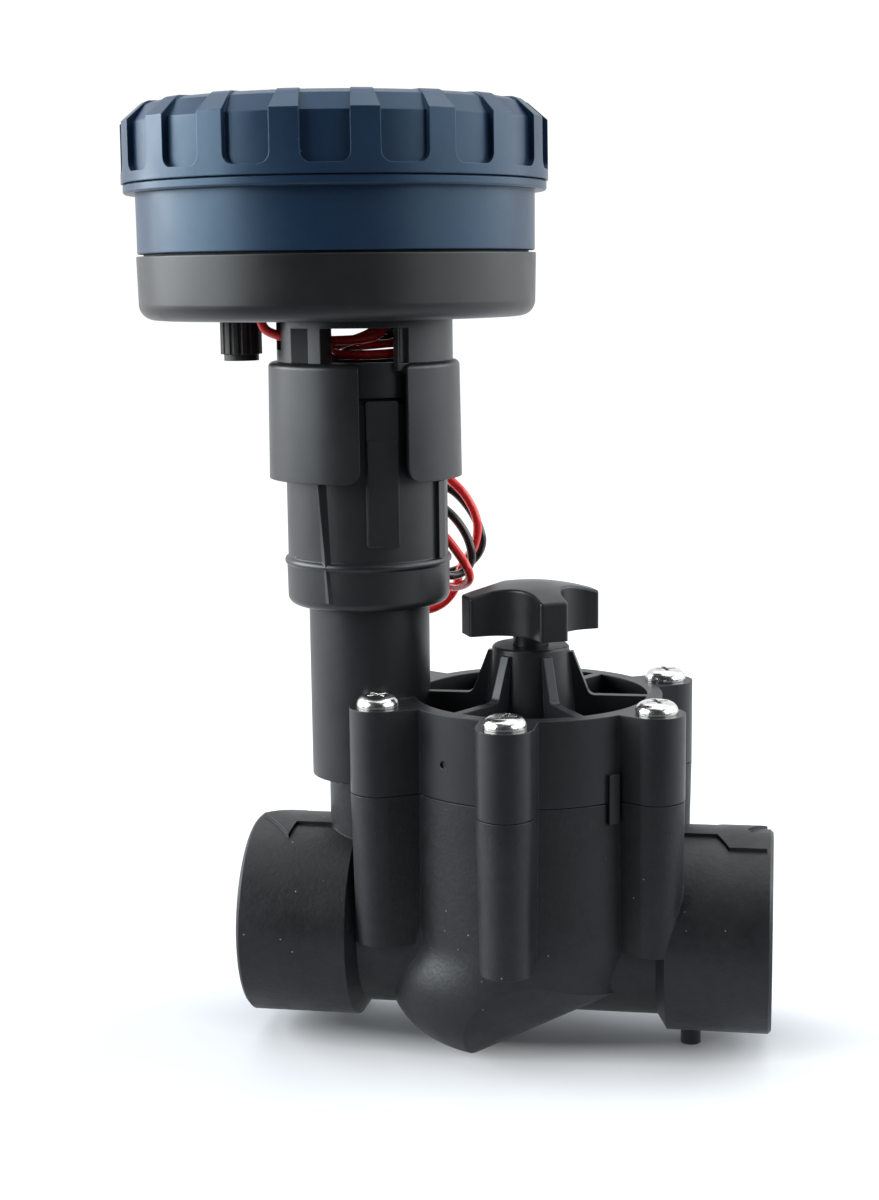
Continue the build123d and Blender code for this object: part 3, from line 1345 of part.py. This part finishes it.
lead_black_route = rel(
    (-37.7, 16.6, 111.5),
    (-37.7, 22.0, 111.1),
    (-36.2, 25.6, 107.6),
    (-32.7, 27.0, 97.0),
    (-27.3, 27.5, 94.2),
    (-21.9, 27.5, 93.1),
    (-18.1, 27.5, 89.6),
    (-15.1, 27.5, 84.6),
    (-14.0, 27.5, 79.8),
    (-16.8, 27.4, 75.6),
    (-21.9, 27.2, 73.2),
    (-27.5, 27.0, 73.2),
    (-33.1, 27.0, 75.7),
    (-36.2, 26.8, 80.8),
    (-34.4, 25.2, 86.8),
    (-29.4, 23.4, 90.5),
    (-23.7, 22.4, 90.0),
    (-19.4, 22.3, 86.4),
    (-16.4, 22.3, 81.4),
    (-15.8, 22.3, 76.1),
    (-19.2, 20.3, 73.4),
    (-22.7, 16.9, 74.8),
    (-24.4, 16.3, 81.2),
    (-24.6, 16.8, 88.6),
    (-25.0, 19.6, 94.6),
    (-26.1, 21.4, 100.7),
    (-27.8, 23.6, 106.8),
    (-27.2, 25.0, 113.2),
    (-27.0, 25.2, 119.6),
    (-27.4, 22.2, 124.6),
    (-28.4, 16.8, 126.8),
    (-30.4, 12.0, 128.4),
    (-33.2, 8.0, 129.1),
    (-34.0, 4.0, 128.9),
    (-32.2, 1.0, 128.3),
    (-29.6, -0.5, 128.5),
    (-27.9, -1.1, 129.9),
    (-27.4, -1.2, 131.7),
    (-27.4, -1.2, 133.4),
)
lead_sensor_route = rel(
    (-29.6, -4.9, 133.7),
    (-29.6, -4.9, 131.0),
    (-31.0, -5.8, 128.6),
    (-34.8, -7.0, 127.8),
    (-40.2, -7.4, 127.6),
    (-45.6, -6.8, 127.6),
    (-49.8, -7.2, 128.0),
    (-52.6, -8.1, 128.9),
    (-54.8, -8.6, 129.9),
    (-55.7, -8.8, 131.8),
    (-55.7, -8.8, 133.9),
)
lead("lead_red", lead_red_route)
lead("lead_black", lead_black_route)
lead("lead_sensor", lead_sensor_route)
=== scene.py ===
"""Looks of the battery irrigation controller on its solenoid and globe valve."""

import math

import bmesh
import bpy
from mathutils import Matrix, Vector


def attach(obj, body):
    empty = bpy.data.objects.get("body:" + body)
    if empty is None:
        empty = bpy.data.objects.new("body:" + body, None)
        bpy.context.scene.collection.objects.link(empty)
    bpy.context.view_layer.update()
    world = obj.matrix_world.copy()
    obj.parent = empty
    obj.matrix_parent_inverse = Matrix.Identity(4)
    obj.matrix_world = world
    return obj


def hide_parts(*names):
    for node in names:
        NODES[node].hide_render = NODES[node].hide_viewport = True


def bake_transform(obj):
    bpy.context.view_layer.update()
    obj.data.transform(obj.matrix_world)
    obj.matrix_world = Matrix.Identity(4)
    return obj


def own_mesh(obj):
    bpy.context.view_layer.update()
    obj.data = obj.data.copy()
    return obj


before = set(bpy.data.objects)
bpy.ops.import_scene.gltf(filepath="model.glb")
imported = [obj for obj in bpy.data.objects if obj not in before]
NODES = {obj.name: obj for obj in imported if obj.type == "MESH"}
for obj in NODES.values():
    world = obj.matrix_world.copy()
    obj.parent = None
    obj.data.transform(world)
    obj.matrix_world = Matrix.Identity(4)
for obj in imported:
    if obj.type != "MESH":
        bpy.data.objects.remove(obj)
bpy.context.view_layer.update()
MM = 0.001

# ---------------------------------------------------------------- camera
YAW, PITCH, ROLL = -0.1678, 0.166, -0.0126
fwd = Vector((math.sin(YAW) * math.cos(PITCH), math.cos(YAW) * math.cos(PITCH), -math.sin(PITCH)))
right = fwd.cross(Vector((0, 0, 1))).normalized()
up = right.cross(fwd)
cr, sr = math.cos(ROLL), math.sin(ROLL)
right2 = cr * right + sr * up
up2 = -sr * right + cr * up
cam_data = bpy.data.cameras.new("camera")
cam = bpy.data.objects.new("camera", cam_data)
bpy.context.scene.collection.objects.link(cam)
cam.matrix_world = Matrix(
    (
        (right2.x, up2.x, -fwd.x, 0.0630),
        (right2.y, up2.y, -fwd.y, -0.4121),
        (right2.z, up2.z, -fwd.z, 0.16755),
        (0, 0, 0, 1),
    )
)
cam_data.lens = 58.73
cam_data.sensor_width = 36
cam_data.clip_start = 0.01
cam_data.clip_end = 50
bpy.context.scene.camera = cam

# ---------------------------------------------------------------- leads
X_BONNET, Z_FLOW = 13.0, 26.0


def route(*points):
    return [((x + X_BONNET) * MM, y * MM, (z + Z_FLOW) * MM) for x, y, z in points]


red_route = route(
    (-32.9, 16.6, 111.5),
    (-32.9, 22.0, 111.3),
    (-31.2, 25.0, 108.8),
    (-30.4, 25.4, 105.3),
    (-25.8, 25.0, 99.5),
    (-21.3, 25.0, 95.2),
    (-17.4, 25.0, 91.3),
    (-14.7, 25.0, 85.4),
    (-15.7, 25.0, 79.4),
    (-19.2, 25.0, 75.2),
    (-19.9, 24.6, 70.2),
    (-23.4, 24.4, 66.0),
    (-28.5, 24.4, 64.5),
    (-35.1, 24.6, 66.7),
    (-40.3, 25.0, 71.2),
    (-42.0, 25.0, 77.3),
    (-38.8, 23.6, 83.0),
    (-32.3, 21.4, 86.1),
    (-26.3, 21.0, 85.8),
    (-22.1, 19.4, 83.5),
    (-18.6, 14.6, 80.6),
    (-15.4, 12.0, 77.0),
    (-15.1, 14.8, 73.2),
    (-19.7, 19.4, 71.0),
    (-25.1, 21.2, 71.8),
    (-33.3, 20.8, 73.8),
    (-41.2, 20.8, 77.0),
    (-46.1, 22.6, 84.0),
    (-47.4, 25.4, 92.4),
    (-46.2, 27.0, 101.0),
    (-44.2, 27.0, 107.5),
    (-43.4, 27.0, 114.8),
    (-43.0, 26.4, 121.2),
    (-42.4, 22.0, 125.2),
    (-42.9, 15.4, 125.6),
    (-42.0, 9.8, 125.7),
    (-37.4, 7.2, 126.0),
    (-31.0, 7.4, 126.6),
    (-25.6, 4.6, 126.8),
    (-23.6, -1.2, 126.0),
    (-26.2, -7.4, 125.0),
    (-32.2, -10.0, 124.7),
    (-37.8, -9.6, 124.7),
    (-41.4, -6.8, 125.0),
    (-42.2, -2.8, 125.9),
    (-39.6, -0.2, 126.9),
    (-36.4, -0.5, 127.9),
    (-33.6, -1.0, 129.0),
    (-31.8, -1.2, 130.9),
    (-31.8, -1.2, 133.4),
)
black_route = route(
    (-37.7, 16.6, 111.5),
    (-37.7, 22.0, 111.1),
    (-36.2, 25.6, 107.6),
    (-32.7, 27.0, 97.0),
    (-27.3, 27.5, 94.2),
    (-21.9, 27.5, 93.1),
    (-18.1, 27.5, 89.6),
    (-15.1, 27.5, 84.6),
    (-14.0, 27.5, 79.8),
    (-16.8, 27.4, 75.6),
    (-21.9, 27.2, 73.2),
    (-27.5, 27.0, 73.2),
    (-33.1, 27.0, 75.7),
    (-36.2, 26.8, 80.8),
    (-34.4, 25.2, 86.8),
    (-29.4, 23.4, 90.5),
    (-23.7, 22.4, 90.0),
    (-19.4, 22.3, 86.4),
    (-16.4, 22.3, 81.4),
    (-15.8, 22.3, 76.1),
    (-19.2, 20.3, 73.4),
    (-22.7, 16.9, 74.8),
    (-24.4, 16.3, 81.2),
    (-24.6, 16.8, 88.6),
    (-25.0, 19.6, 94.6),
    (-26.1, 21.4, 100.7),
    (-27.8, 23.6, 106.8),
    (-27.2, 25.0, 113.2),
    (-27.0, 25.2, 119.6),
    (-27.4, 22.2, 124.6),
    (-28.4, 16.8, 126.8),
    (-30.4, 12.0, 128.4),
    (-33.2, 8.0, 129.1),
    (-34.0, 4.0, 128.9),
    (-32.2, 1.0, 128.3),
    (-29.6, -0.5, 128.5),
    (-27.9, -1.1, 129.9),
    (-27.4, -1.2, 131.7),
    (-27.4, -1.2, 133.4),
)
sensor_route = route(
    (-29.6, -4.9, 133.7),
    (-29.6, -4.9, 131.0),
    (-31.0, -5.8, 128.6),
    (-34.8, -7.0, 127.8),
    (-40.2, -7.4, 127.6),
    (-45.6, -6.8, 127.6),
    (-49.8, -7.2, 128.0),
    (-52.6, -8.1, 128.9),
    (-54.8, -8.6, 129.9),
    (-55.7, -8.8, 131.8),
    (-55.7, -8.8, 133.9),
)


def lead(name, points, node):
    """A round wire, 2 mm thick, as a mesh tube round the smooth line that its route gives."""
    curve = bpy.data.curves.new(name + "_line", "CURVE")
    curve.dimensions = "3D"
    spline = curve.splines.new("NURBS")
    spline.points.add(len(points) - 1)
    for point, co in zip(spline.points, points):
        point.co = (*co, 1)
    spline.order_u = 3
    spline.use_endpoint_u = True
    spline.resolution_u = 10
    guide = bpy.data.objects.new(name + "_line", curve)
    bpy.context.scene.collection.objects.link(guide)
    bpy.context.view_layer.update()
    line = bpy.data.meshes.new_from_object(guide.evaluated_get(bpy.context.evaluated_depsgraph_get()))
    curve.bevel_depth = 0.001
    curve.bevel_resolution = 5
    curve.use_fill_caps = True
    bpy.context.view_layer.update()
    tube = bpy.data.meshes.new_from_object(guide.evaluated_get(bpy.context.evaluated_depsgraph_get()))
    tube.name = name
    for polygon in tube.polygons:
        polygon.use_smooth = len(polygon.vertices) == 4
    bpy.data.objects.remove(guide)
    bpy.data.curves.remove(curve)
    bpy.data.meshes.remove(line)
    obj = bpy.data.objects.new(name, tube)
    bpy.context.scene.collection.objects.link(obj)
    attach(obj, "head")
    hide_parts(node)
    return obj


red_lead = lead("red_lead", red_route, "lead_red")
black_lead = lead("black_lead", black_route, "lead_black")
sensor_lead = lead("sensor_lead", sensor_route, "lead_sensor")


# ---------------------------------------------------------------- materials
def link(tree, a, b):
    tree.links.new(a, b)


def noise(tree, coord, scale, detail=2.0, rough=0.5):
    n = tree.nodes.new("ShaderNodeTexNoise")
    n.inputs["Scale"].default_value = scale
    n.inputs["Detail"].default_value = detail
    n.inputs["Roughness"].default_value = rough
    link(tree, coord, n.inputs["Vector"])
    return n.outputs["Fac"]


def ramp(tree, value, stops):
    r = tree.nodes.new("ShaderNodeValToRGB")
    while len(r.color_ramp.elements) < len(stops):
        r.color_ramp.elements.new(0.5)
    for e, (pos, col) in zip(r.color_ramp.elements, stops):
        e.position = pos
        e.color = (*col, 1)
    link(tree, value, r.inputs["Fac"])
    return r.outputs["Color"]


def span(tree, value, a, b, lo, hi):
    m = tree.nodes.new("ShaderNodeMapRange")
    m.inputs["From Min"].default_value = a
    m.inputs["From Max"].default_value = b
    m.inputs["To Min"].default_value = lo
    m.inputs["To Max"].default_value = hi
    link(tree, value, m.inputs["Value"])
    return m.outputs["Result"]


def math_node(tree, op, a, b):
    m = tree.nodes.new("ShaderNodeMath")
    m.operation = op
    for socket, value in zip(m.inputs, (a, b)):
        if isinstance(value, (int, float)):
            socket.default_value = value
        else:
            link(tree, value, socket)
    return m.outputs["Value"]


def mix(tree, fac, a, b):
    m = tree.nodes.new("ShaderNodeMix")
    m.data_type = "RGBA"
    for name, value in (("Factor", fac), ("A", a), ("B", b)):
        socket = [s for s in m.inputs if s.name == name and s.enabled][0]
        if isinstance(value, tuple):
            socket.default_value = (*value, 1)
        elif isinstance(value, (int, float)):
            socket.default_value = value
        else:
            link(tree, value, socket)
    return [s for s in m.outputs if s.enabled][0]


def start(name):
    mat = bpy.data.materials.new(name)
    mat.use_nodes = True
    tree = mat.node_tree
    shader = tree.nodes["Principled BSDF"]
    coord = tree.nodes.new("ShaderNodeTexCoord").outputs["Object"]
    return mat, tree, shader, coord


def bump(tree, height, strength, distance, normal=None):
    b = tree.nodes.new("ShaderNodeBump")
    b.inputs["Strength"].default_value = strength
    b.inputs["Distance"].default_value = distance
    link(tree, height, b.inputs["Height"])
    if normal is not None:
        link(tree, normal, b.inputs["Normal"])
    return b.outputs["Normal"]


def soft_edge(tree, radius):
    b = tree.nodes.new("ShaderNodeBevel")
    b.samples = 6
    b.inputs["Radius"].default_value = radius
    return b.outputs["Normal"]


def moulding(name, colour, rough=0.42, vary=0.14, grain=0.10, grain_size=0.00045, specks=0.0, speck_colour=(0.35, 0.36, 0.37), edge=0.0003, spec=0.5, scuff=0.05, tint=(1.0, 1.0, 1.0)):
    """Moulded plastic: uneven tone, fine grain, uneven gloss and a few light specks."""
    mat, tree, shader, coord = start(name)
    big = noise(tree, coord, 38.0, 3.0, 0.6)
    fine = noise(tree, coord, 520.0, 3.0, 0.6)
    tone = math_node(tree, "ADD", math_node(tree, "MULTIPLY", big, 0.6), math_node(tree, "MULTIPLY", fine, 0.4))
    dark = tuple(c * (1 - vary) for c in colour)
    light = tuple(min(1.0, c * (1 + vary)) for c in colour)
    base = ramp(tree, tone, [(0.38, dark), (0.62, light)])
    if specks:
        cells = tree.nodes.new("ShaderNodeTexVoronoi")
        cells.inputs["Scale"].default_value = 360.0
        link(tree, coord, cells.inputs["Vector"])
        near = span(tree, cells.outputs["Distance"], 0.030, 0.075, 1.0, 0.0)
        split = tree.nodes.new("ShaderNodeSeparateColor")
        link(tree, cells.outputs["Color"], split.inputs["Color"])
        some = math_node(tree, "LESS_THAN", split.outputs["Red"], specks)
        base = mix(tree, math_node(tree, "MULTIPLY", math_node(tree, "MULTIPLY", near, some), 0.7), base, speck_colour)
    link(tree, base, shader.inputs["Base Color"])
    gloss = noise(tree, coord, 95.0, 4.0, 0.6)
    link(tree, span(tree, gloss, 0.3, 0.7, rough - scuff, rough + scuff), shader.inputs["Roughness"])
    g1 = noise(tree, coord, 1.0 / grain_size, 2.0, 0.5)
    g2 = noise(tree, coord, 140.0, 3.0, 0.6)
    height = math_node(tree, "ADD", g1, math_node(tree, "MULTIPLY", g2, 0.7))
    normal = soft_edge(tree, edge) if edge else None
    link(tree, bump(tree, height, grain, 0.00006, normal), shader.inputs["Normal"])
    shader.inputs["Specular IOR Level"].default_value = spec
    shader.inputs["Specular Tint"].default_value = (*tint, 1)
    return mat


def metal(name, colour, rough=0.14, edge=0.00025, streak=0.0):
    mat, tree, shader, coord = start(name)
    n = noise(tree, coord, 300.0, 3.0, 0.6)
    base = ramp(tree, n, [(0.35, tuple(c * 0.86 for c in colour)), (0.65, colour)])
    link(tree, base, shader.inputs["Base Color"])
    shader.inputs["Metallic"].default_value = 1.0
    fine = noise(tree, coord, 1400.0, 3.0, 0.6)
    link(tree, span(tree, fine, 0.3, 0.7, rough * 0.75, rough * 1.35), shader.inputs["Roughness"])
    link(tree, bump(tree, fine, 0.06 + streak, 0.00004, soft_edge(tree, edge)), shader.inputs["Normal"])
    return mat


def insulation(name, colour, rough=0.26):
    mat, tree, shader, coord = start(name)
    n = noise(tree, coord, 160.0, 3.0, 0.6)
    base = ramp(tree, n, [(0.35, tuple(c * 0.78 for c in colour)), (0.65, colour)])
    link(tree, base, shader.inputs["Base Color"])
    link(tree, span(tree, noise(tree, coord, 420.0), 0.3, 0.7, rough - 0.05, rough + 0.08), shader.inputs["Roughness"])
    link(tree, bump(tree, noise(tree, coord, 700.0, 2.0), 0.10, 0.00008), shader.inputs["Normal"])
    shader.inputs["Coat Weight"].default_value = 0.25
    shader.inputs["Coat Roughness"].default_value = 0.12
    return mat


valve_black = moulding("valve_black", (0.0098, 0.0101, 0.0114), rough=0.47, vary=0.32, grain=1.0, grain_size=0.00085, specks=0.26, scuff=0.09, spec=0.41, tint=(0.93, 0.97, 1.0))
bonnet_black = moulding("bonnet_black", (0.0100, 0.0102, 0.0116), rough=0.40, vary=0.20, grain=0.18, specks=0.10, spec=0.46, tint=(0.93, 0.97, 1.0))
head_black = moulding("head_black", (0.0108, 0.0112, 0.0124), rough=0.37, vary=0.14, grain=0.10, specks=0.05, spec=0.54, tint=(0.93, 0.97, 1.0))
base_black = moulding("base_black", (0.0102, 0.0102, 0.0107), rough=0.38, vary=0.12, grain=0.10, specks=0.04, spec=0.58, tint=(0.94, 0.98, 1.0))
handle_black = moulding("handle_black", (0.0105, 0.0105, 0.0116), rough=0.36, vary=0.12, grain=0.10, specks=0.05, spec=0.42, tint=(0.93, 0.97, 1.0))
knurl_black = moulding("knurl_black", (0.0080, 0.0080, 0.0082), rough=0.50, vary=0.10, grain=0.10)
blue = moulding("blue", (0.0105, 0.0262, 0.0600), rough=0.38, vary=0.09, grain=0.07, specks=0.05, speck_colour=(0.25, 0.30, 0.40), spec=0.56, tint=(0.52, 0.78, 1.0))
grey_face = moulding("grey_face", (0.095, 0.100, 0.108), rough=0.45, grain=0.25, grain_size=0.0006)
natural = moulding("natural", (0.62, 0.61, 0.57), rough=0.42)
key_rubber = moulding("key_rubber", (0.035, 0.048, 0.080), rough=0.62, grain=0.2)
rubber = moulding("rubber", (0.012, 0.012, 0.0125), rough=0.68, grain=0.25)
board = moulding("board", (0.012, 0.085, 0.030), rough=0.30, grain=0.05)
component = moulding("component", (0.014, 0.014, 0.015), rough=0.35)
battery_skin = moulding("battery_skin", (0.045, 0.045, 0.050), rough=0.25)
screw_steel = metal("screw_steel", (0.80, 0.79, 0.77), rough=0.20)
spring_steel = metal("spring_steel", (0.60, 0.60, 0.60), rough=0.28)
core_steel = metal("core_steel", (0.52, 0.52, 0.52), rough=0.30, streak=0.1)
copper = metal("copper", (0.72, 0.30, 0.12), rough=0.32, streak=0.2)
red_wire = insulation("red_wire", (0.90, 0.028, 0.028))
black_wire = insulation("black_wire", (0.010, 0.010, 0.0105))

display, tree, shader, coord = start("display")
link(tree, ramp(tree, noise(tree, coord, 260.0, 2.0), [(0.3, (0.22, 0.26, 0.20)), (0.7, (0.27, 0.31, 0.24))]), shader.inputs["Base Color"])
link(tree, span(tree, noise(tree, coord, 120.0, 2.0), 0.3, 0.7, 0.22, 0.34), shader.inputs["Roughness"])

window, tree, shader, coord = start("window")
link(tree, ramp(tree, noise(tree, coord, 90.0, 2.0), [(0.3, (0.80, 0.86, 0.86)), (0.7, (0.90, 0.94, 0.94))]), shader.inputs["Base Color"])
link(tree, span(tree, noise(tree, coord, 500.0, 2.0), 0.3, 0.7, 0.03, 0.09), shader.inputs["Roughness"])
shader.inputs["Alpha"].default_value = 0.28
window.blend_method = "BLEND"

LOOKS = {
    "valve_body": valve_black,
    "bonnet": bonnet_black,
    "solenoid_housing": head_black,
    "solenoid_end_cap": head_black,
    "bracket": head_black,
    "controller_base": base_black,
    "sensor_port_cap": knurl_black,
    "flow_handle": handle_black,
    "flow_stem": handle_black,
    "thrust_cap": handle_black,
    "cover": blue,
    "housing": blue,
    "face_plate": grey_face,
    "display_window": window,
    "display_module": display,
    "circuit_board": board,
    "board_parts": component,
    "battery": battery_skin,
    "battery_connector": component,
    "coil_winding": copper,
    "diaphragm_plate": natural,
    "seat_retainer": natural,
    "coil_bobbin": natural,
    "core_tube": core_steel,
    "pole_piece": core_steel,
    "plunger": core_steel,
    "latch_magnet": core_steel,
    "diaphragm_spring": spring_steel,
    "plunger_spring": spring_steel,
    "bonnet_screws": screw_steel,
    "bracket_screws": screw_steel,
    "case_screws": screw_steel,
    "board_screws": screw_steel,
    "retainer_screw": screw_steel,
}
for node, obj in NODES.items():
    look = LOOKS.get(node) or (key_rubber if node.startswith("button_") else rubber)
    obj.data.materials.clear()
    obj.data.materials.append(look)
for obj, look in ((red_lead, red_wire), (sensor_lead, red_wire), (black_lead, black_wire)):
    obj.data.materials.clear()
    obj.data.materials.append(look)


# ---------------------------------------------------------------- added detail
def new_piece(name, bm, material, body, smooth=True):
    mesh = bpy.data.meshes.new(name)
    bm.to_mesh(mesh)
    bm.free()
    for polygon in mesh.polygons:
        polygon.use_smooth = smooth
    mesh.materials.append(material)
    obj = bpy.data.objects.new(name, mesh)
    bpy.context.scene.collection.objects.link(obj)
    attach(obj, body)
    return obj


def pipe_thread(name, mouth_x, inward):
    """Ridges of a 1 inch pipe thread on the port's wall: a helix with a trapezoid section, closed at both ends."""
    pitch, turns, steps = 2.209, 7.6, 48
    wall, crest = 15.25, 14.25
    bm = bmesh.new()
    rings = []
    total = int(turns * steps)
    for i in range(total + 1):
        a = 2 * math.pi * i / steps
        along = 1.2 + pitch * i / steps
        # the ridge fades in and out at its ends
        fade = min(1.0, i / (0.4 * steps), (total - i) / (0.4 * steps))
        top = wall - (wall - crest) * max(0.04, fade)
        ring = []
        for offset, radius in ((-0.95, wall), (-0.26, top), (0.26, top), (0.95, wall)):
            x = mouth_x + inward * (along + offset)
            ring.append(bm.verts.new((x * MM, radius * math.cos(a) * MM, (Z_FLOW + radius * math.sin(a)) * MM)))
        rings.append(ring)
    for one, two in zip(rings, rings[1:]):
        for k in range(4):
            bm.faces.new((one[k], one[(k + 1) % 4], two[(k + 1) % 4], two[k]))
    bm.faces.new(rings[0][::-1])
    bm.faces.new(rings[-1])
    bmesh.ops.recalc_face_normals(bm, faces=bm.faces)
    return new_piece(name, bm, valve_black, "valve", smooth=False)


def soft_copy(name, node):
    """A copy of a springy or rubber piece, which stands in for the hidden original."""
    source = NODES[node]
    obj = bpy.data.objects.new(name, source.data.copy())
    bpy.context.scene.collection.objects.link(obj)
    obj.matrix_world = source.matrix_world
    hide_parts(node)
    return obj


# copies of the two compression springs, each with a mesh of its own
valve_spring = soft_copy("diaphragm_spring_coil", "diaphragm_spring")
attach(valve_spring, "valve")
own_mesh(valve_spring)
coil_spring = soft_copy("plunger_spring_coil", "plunger_spring")
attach(coil_spring, "head")
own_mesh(coil_spring)
# a copy of the diaphragm, with its placement baked into the mesh
membrane = soft_copy("diaphragm_membrane", "diaphragm")
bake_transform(membrane)

pipe_thread("inlet_thread", 65.35, -1)
pipe_thread("outlet_thread", -48.65, 1)

# ---------------------------------------------------------------- floor, lights, world
bm = bmesh.new()
bmesh.ops.create_circle(bm, cap_ends=True, radius=1.6, segments=96)
floor_mesh = bpy.data.meshes.new("floor")
bm.to_mesh(floor_mesh)
bm.free()
floor = bpy.data.objects.new("floor", floor_mesh)
floor.location = (0, 0, -0.0001)
bpy.context.scene.collection.objects.link(floor)
floor_mat, tree, shader, coord = start("floor")
away = tree.nodes.new("ShaderNodeVectorMath")
away.operation = "LENGTH"
link(tree, coord, away.inputs[0])
far = span(tree, away.outputs["Value"], 0.14, 0.50, 0.0, 1.0)
paper = ramp(tree, noise(tree, coord, 3.0, 2.0), [(0.3, (0.500, 0.522, 0.552)), (0.7, (0.525, 0.543, 0.570))])
axes = tree.nodes.new("ShaderNodeSeparateXYZ")
link(tree, coord, axes.inputs[0])
depth = span(tree, axes.outputs["Y"], -0.20, 0.03, 0.0, 1.0)
sight = tree.nodes.new("ShaderNodeLightPath").outputs["Is Camera Ray"]
# painted shade: for rays other than the camera's, the paper's colour darkens towards the camera's side
painted_front_shade = math_node(tree, "MULTIPLY", math_node(tree, "SUBTRACT", 1.0, sight), span(tree, depth, 0.0, 1.0, 0.8, 0.0))
link(tree, mix(tree, math_node(tree, "MAXIMUM", far, painted_front_shade), paper, (0.0, 0.0, 0.0)), shader.inputs["Base Color"])
shader.inputs["Emission Color"].default_value = (0.985, 0.993, 1.0, 1)
# the paper glows as if lit from below; close to the valve the glow is low, and lower in an ellipse along the valve that
# is deeper on its left, a painted shadow
shade = tree.nodes.new("ShaderNodeVectorMath")
shade.operation = "MULTIPLY_ADD"
link(tree, coord, shade.inputs[0])
shade.inputs[1].default_value = (1 / 0.075, 1 / 0.022, 0.0)
shade.inputs[2].default_value = (-0.008 / 0.075, -0.008 / 0.022, 0.0)
reach = tree.nodes.new("ShaderNodeVectorMath")
reach.operation = "LENGTH"
link(tree, shade.outputs["Vector"], reach.inputs[0])
# painted shadow: the glow stays low inside an ellipse under the valve, more so on its left
painted_shadow_ellipse = math_node(tree, "MULTIPLY", span(tree, reach.outputs["Value"], 0.60, 1.12, 0.0, 0.34), span(tree, axes.outputs["X"], -0.08, 0.0, 0.45, 1.0))
# painted shadow: the glow the camera sees rises from nothing at the valve to nearly full far out
glow_with_painted_shadow = math_node(tree, "ADD", painted_shadow_ellipse, span(tree, away.outputs["Value"], 0.13, 0.44, 0.0, 0.95))
# painted shade: for rays other than the camera's, the paper glows less near the valve and less on the camera's side
other_rays_painted_shade = math_node(tree, "MULTIPLY", span(tree, away.outputs["Value"], 0.12, 0.46, 0.21, 0.95), span(tree, depth, 0.0, 1.0, 0.12, 1.0))
amount = math_node(tree, "ADD", math_node(tree, "MULTIPLY", glow_with_painted_shadow, sight), math_node(tree, "MULTIPLY", other_rays_painted_shade, math_node(tree, "SUBTRACT", 1.0, sight)))
link(tree, amount, shader.inputs["Emission Strength"])
shader.inputs["Roughness"].default_value = 0.7
shader.inputs["Specular IOR Level"].default_value = 0.2
floor_mesh.materials.append(floor_mat)


def softbox(name, location, target, size, size_y, power, colour=(1, 1, 1)):
    data = bpy.data.lights.new(name, "AREA")
    data.shape = "RECTANGLE"
    data.size, data.size_y = size, size_y
    data.energy = power
    data.color = colour
    obj = bpy.data.objects.new(name, data)
    bpy.context.scene.collection.objects.link(obj)
    obj.location = location
    obj.rotation_mode = "QUATERNION"
    obj.rotation_quaternion = (Vector(target) - Vector(location)).to_track_quat("-Z", "Y")
    return obj


softbox("top_light", (0.05, 0.15, 1.5), (0, 0, 0), 2.2, 1.8, 19, (0.98, 0.99, 1.0))
softbox("left_light", (-1.40, -0.30, 0.63), (0, 0, 0.12), 2.0, 1.0, 52, (0.955, 0.985, 1.0))
softbox("right_light", (1.35, 0.05, 0.70), (0, 0, 0.14), 2.4, 1.0, 25, (0.955, 0.985, 1.0))

world = bpy.data.worlds.new("studio")
bpy.context.scene.world = world
world.use_nodes = True
tree = world.node_tree
background = tree.nodes["Background"]
where = tree.nodes.new("ShaderNodeTexCoord").outputs["Generated"]
parts = tree.nodes.new("ShaderNodeSeparateXYZ")
link(tree, where, parts.inputs[0])
# dark room on the camera's side, bright paper behind and at the sides
towards = math_node(tree, "SUBTRACT", math_node(tree, "MULTIPLY", parts.outputs["Y"], 0.97), math_node(tree, "MULTIPLY", parts.outputs["X"], 0.165))
glow = math_node(tree, "MULTIPLY", span(tree, towards, -0.35, 0.45, 0.03, 1.0), span(tree, parts.outputs["X"], -1.0, 1.0, 0.95, 1.45))
lights = tree.nodes.new("ShaderNodeLightPath")
seen = mix(tree, lights.outputs["Is Camera Ray"], mix(tree, glow, (0.0, 0.0, 0.0), (0.96, 0.985, 1.0)), (1.0, 1.0, 1.0))
link(tree, seen, background.inputs["Color"])
background.inputs["Strength"].default_value = 1.05

bpy.context.scene.view_settings.view_transform = "Standard"
bpy.context.scene.view_settings.look = "None"

bpy.context.view_layer.update()
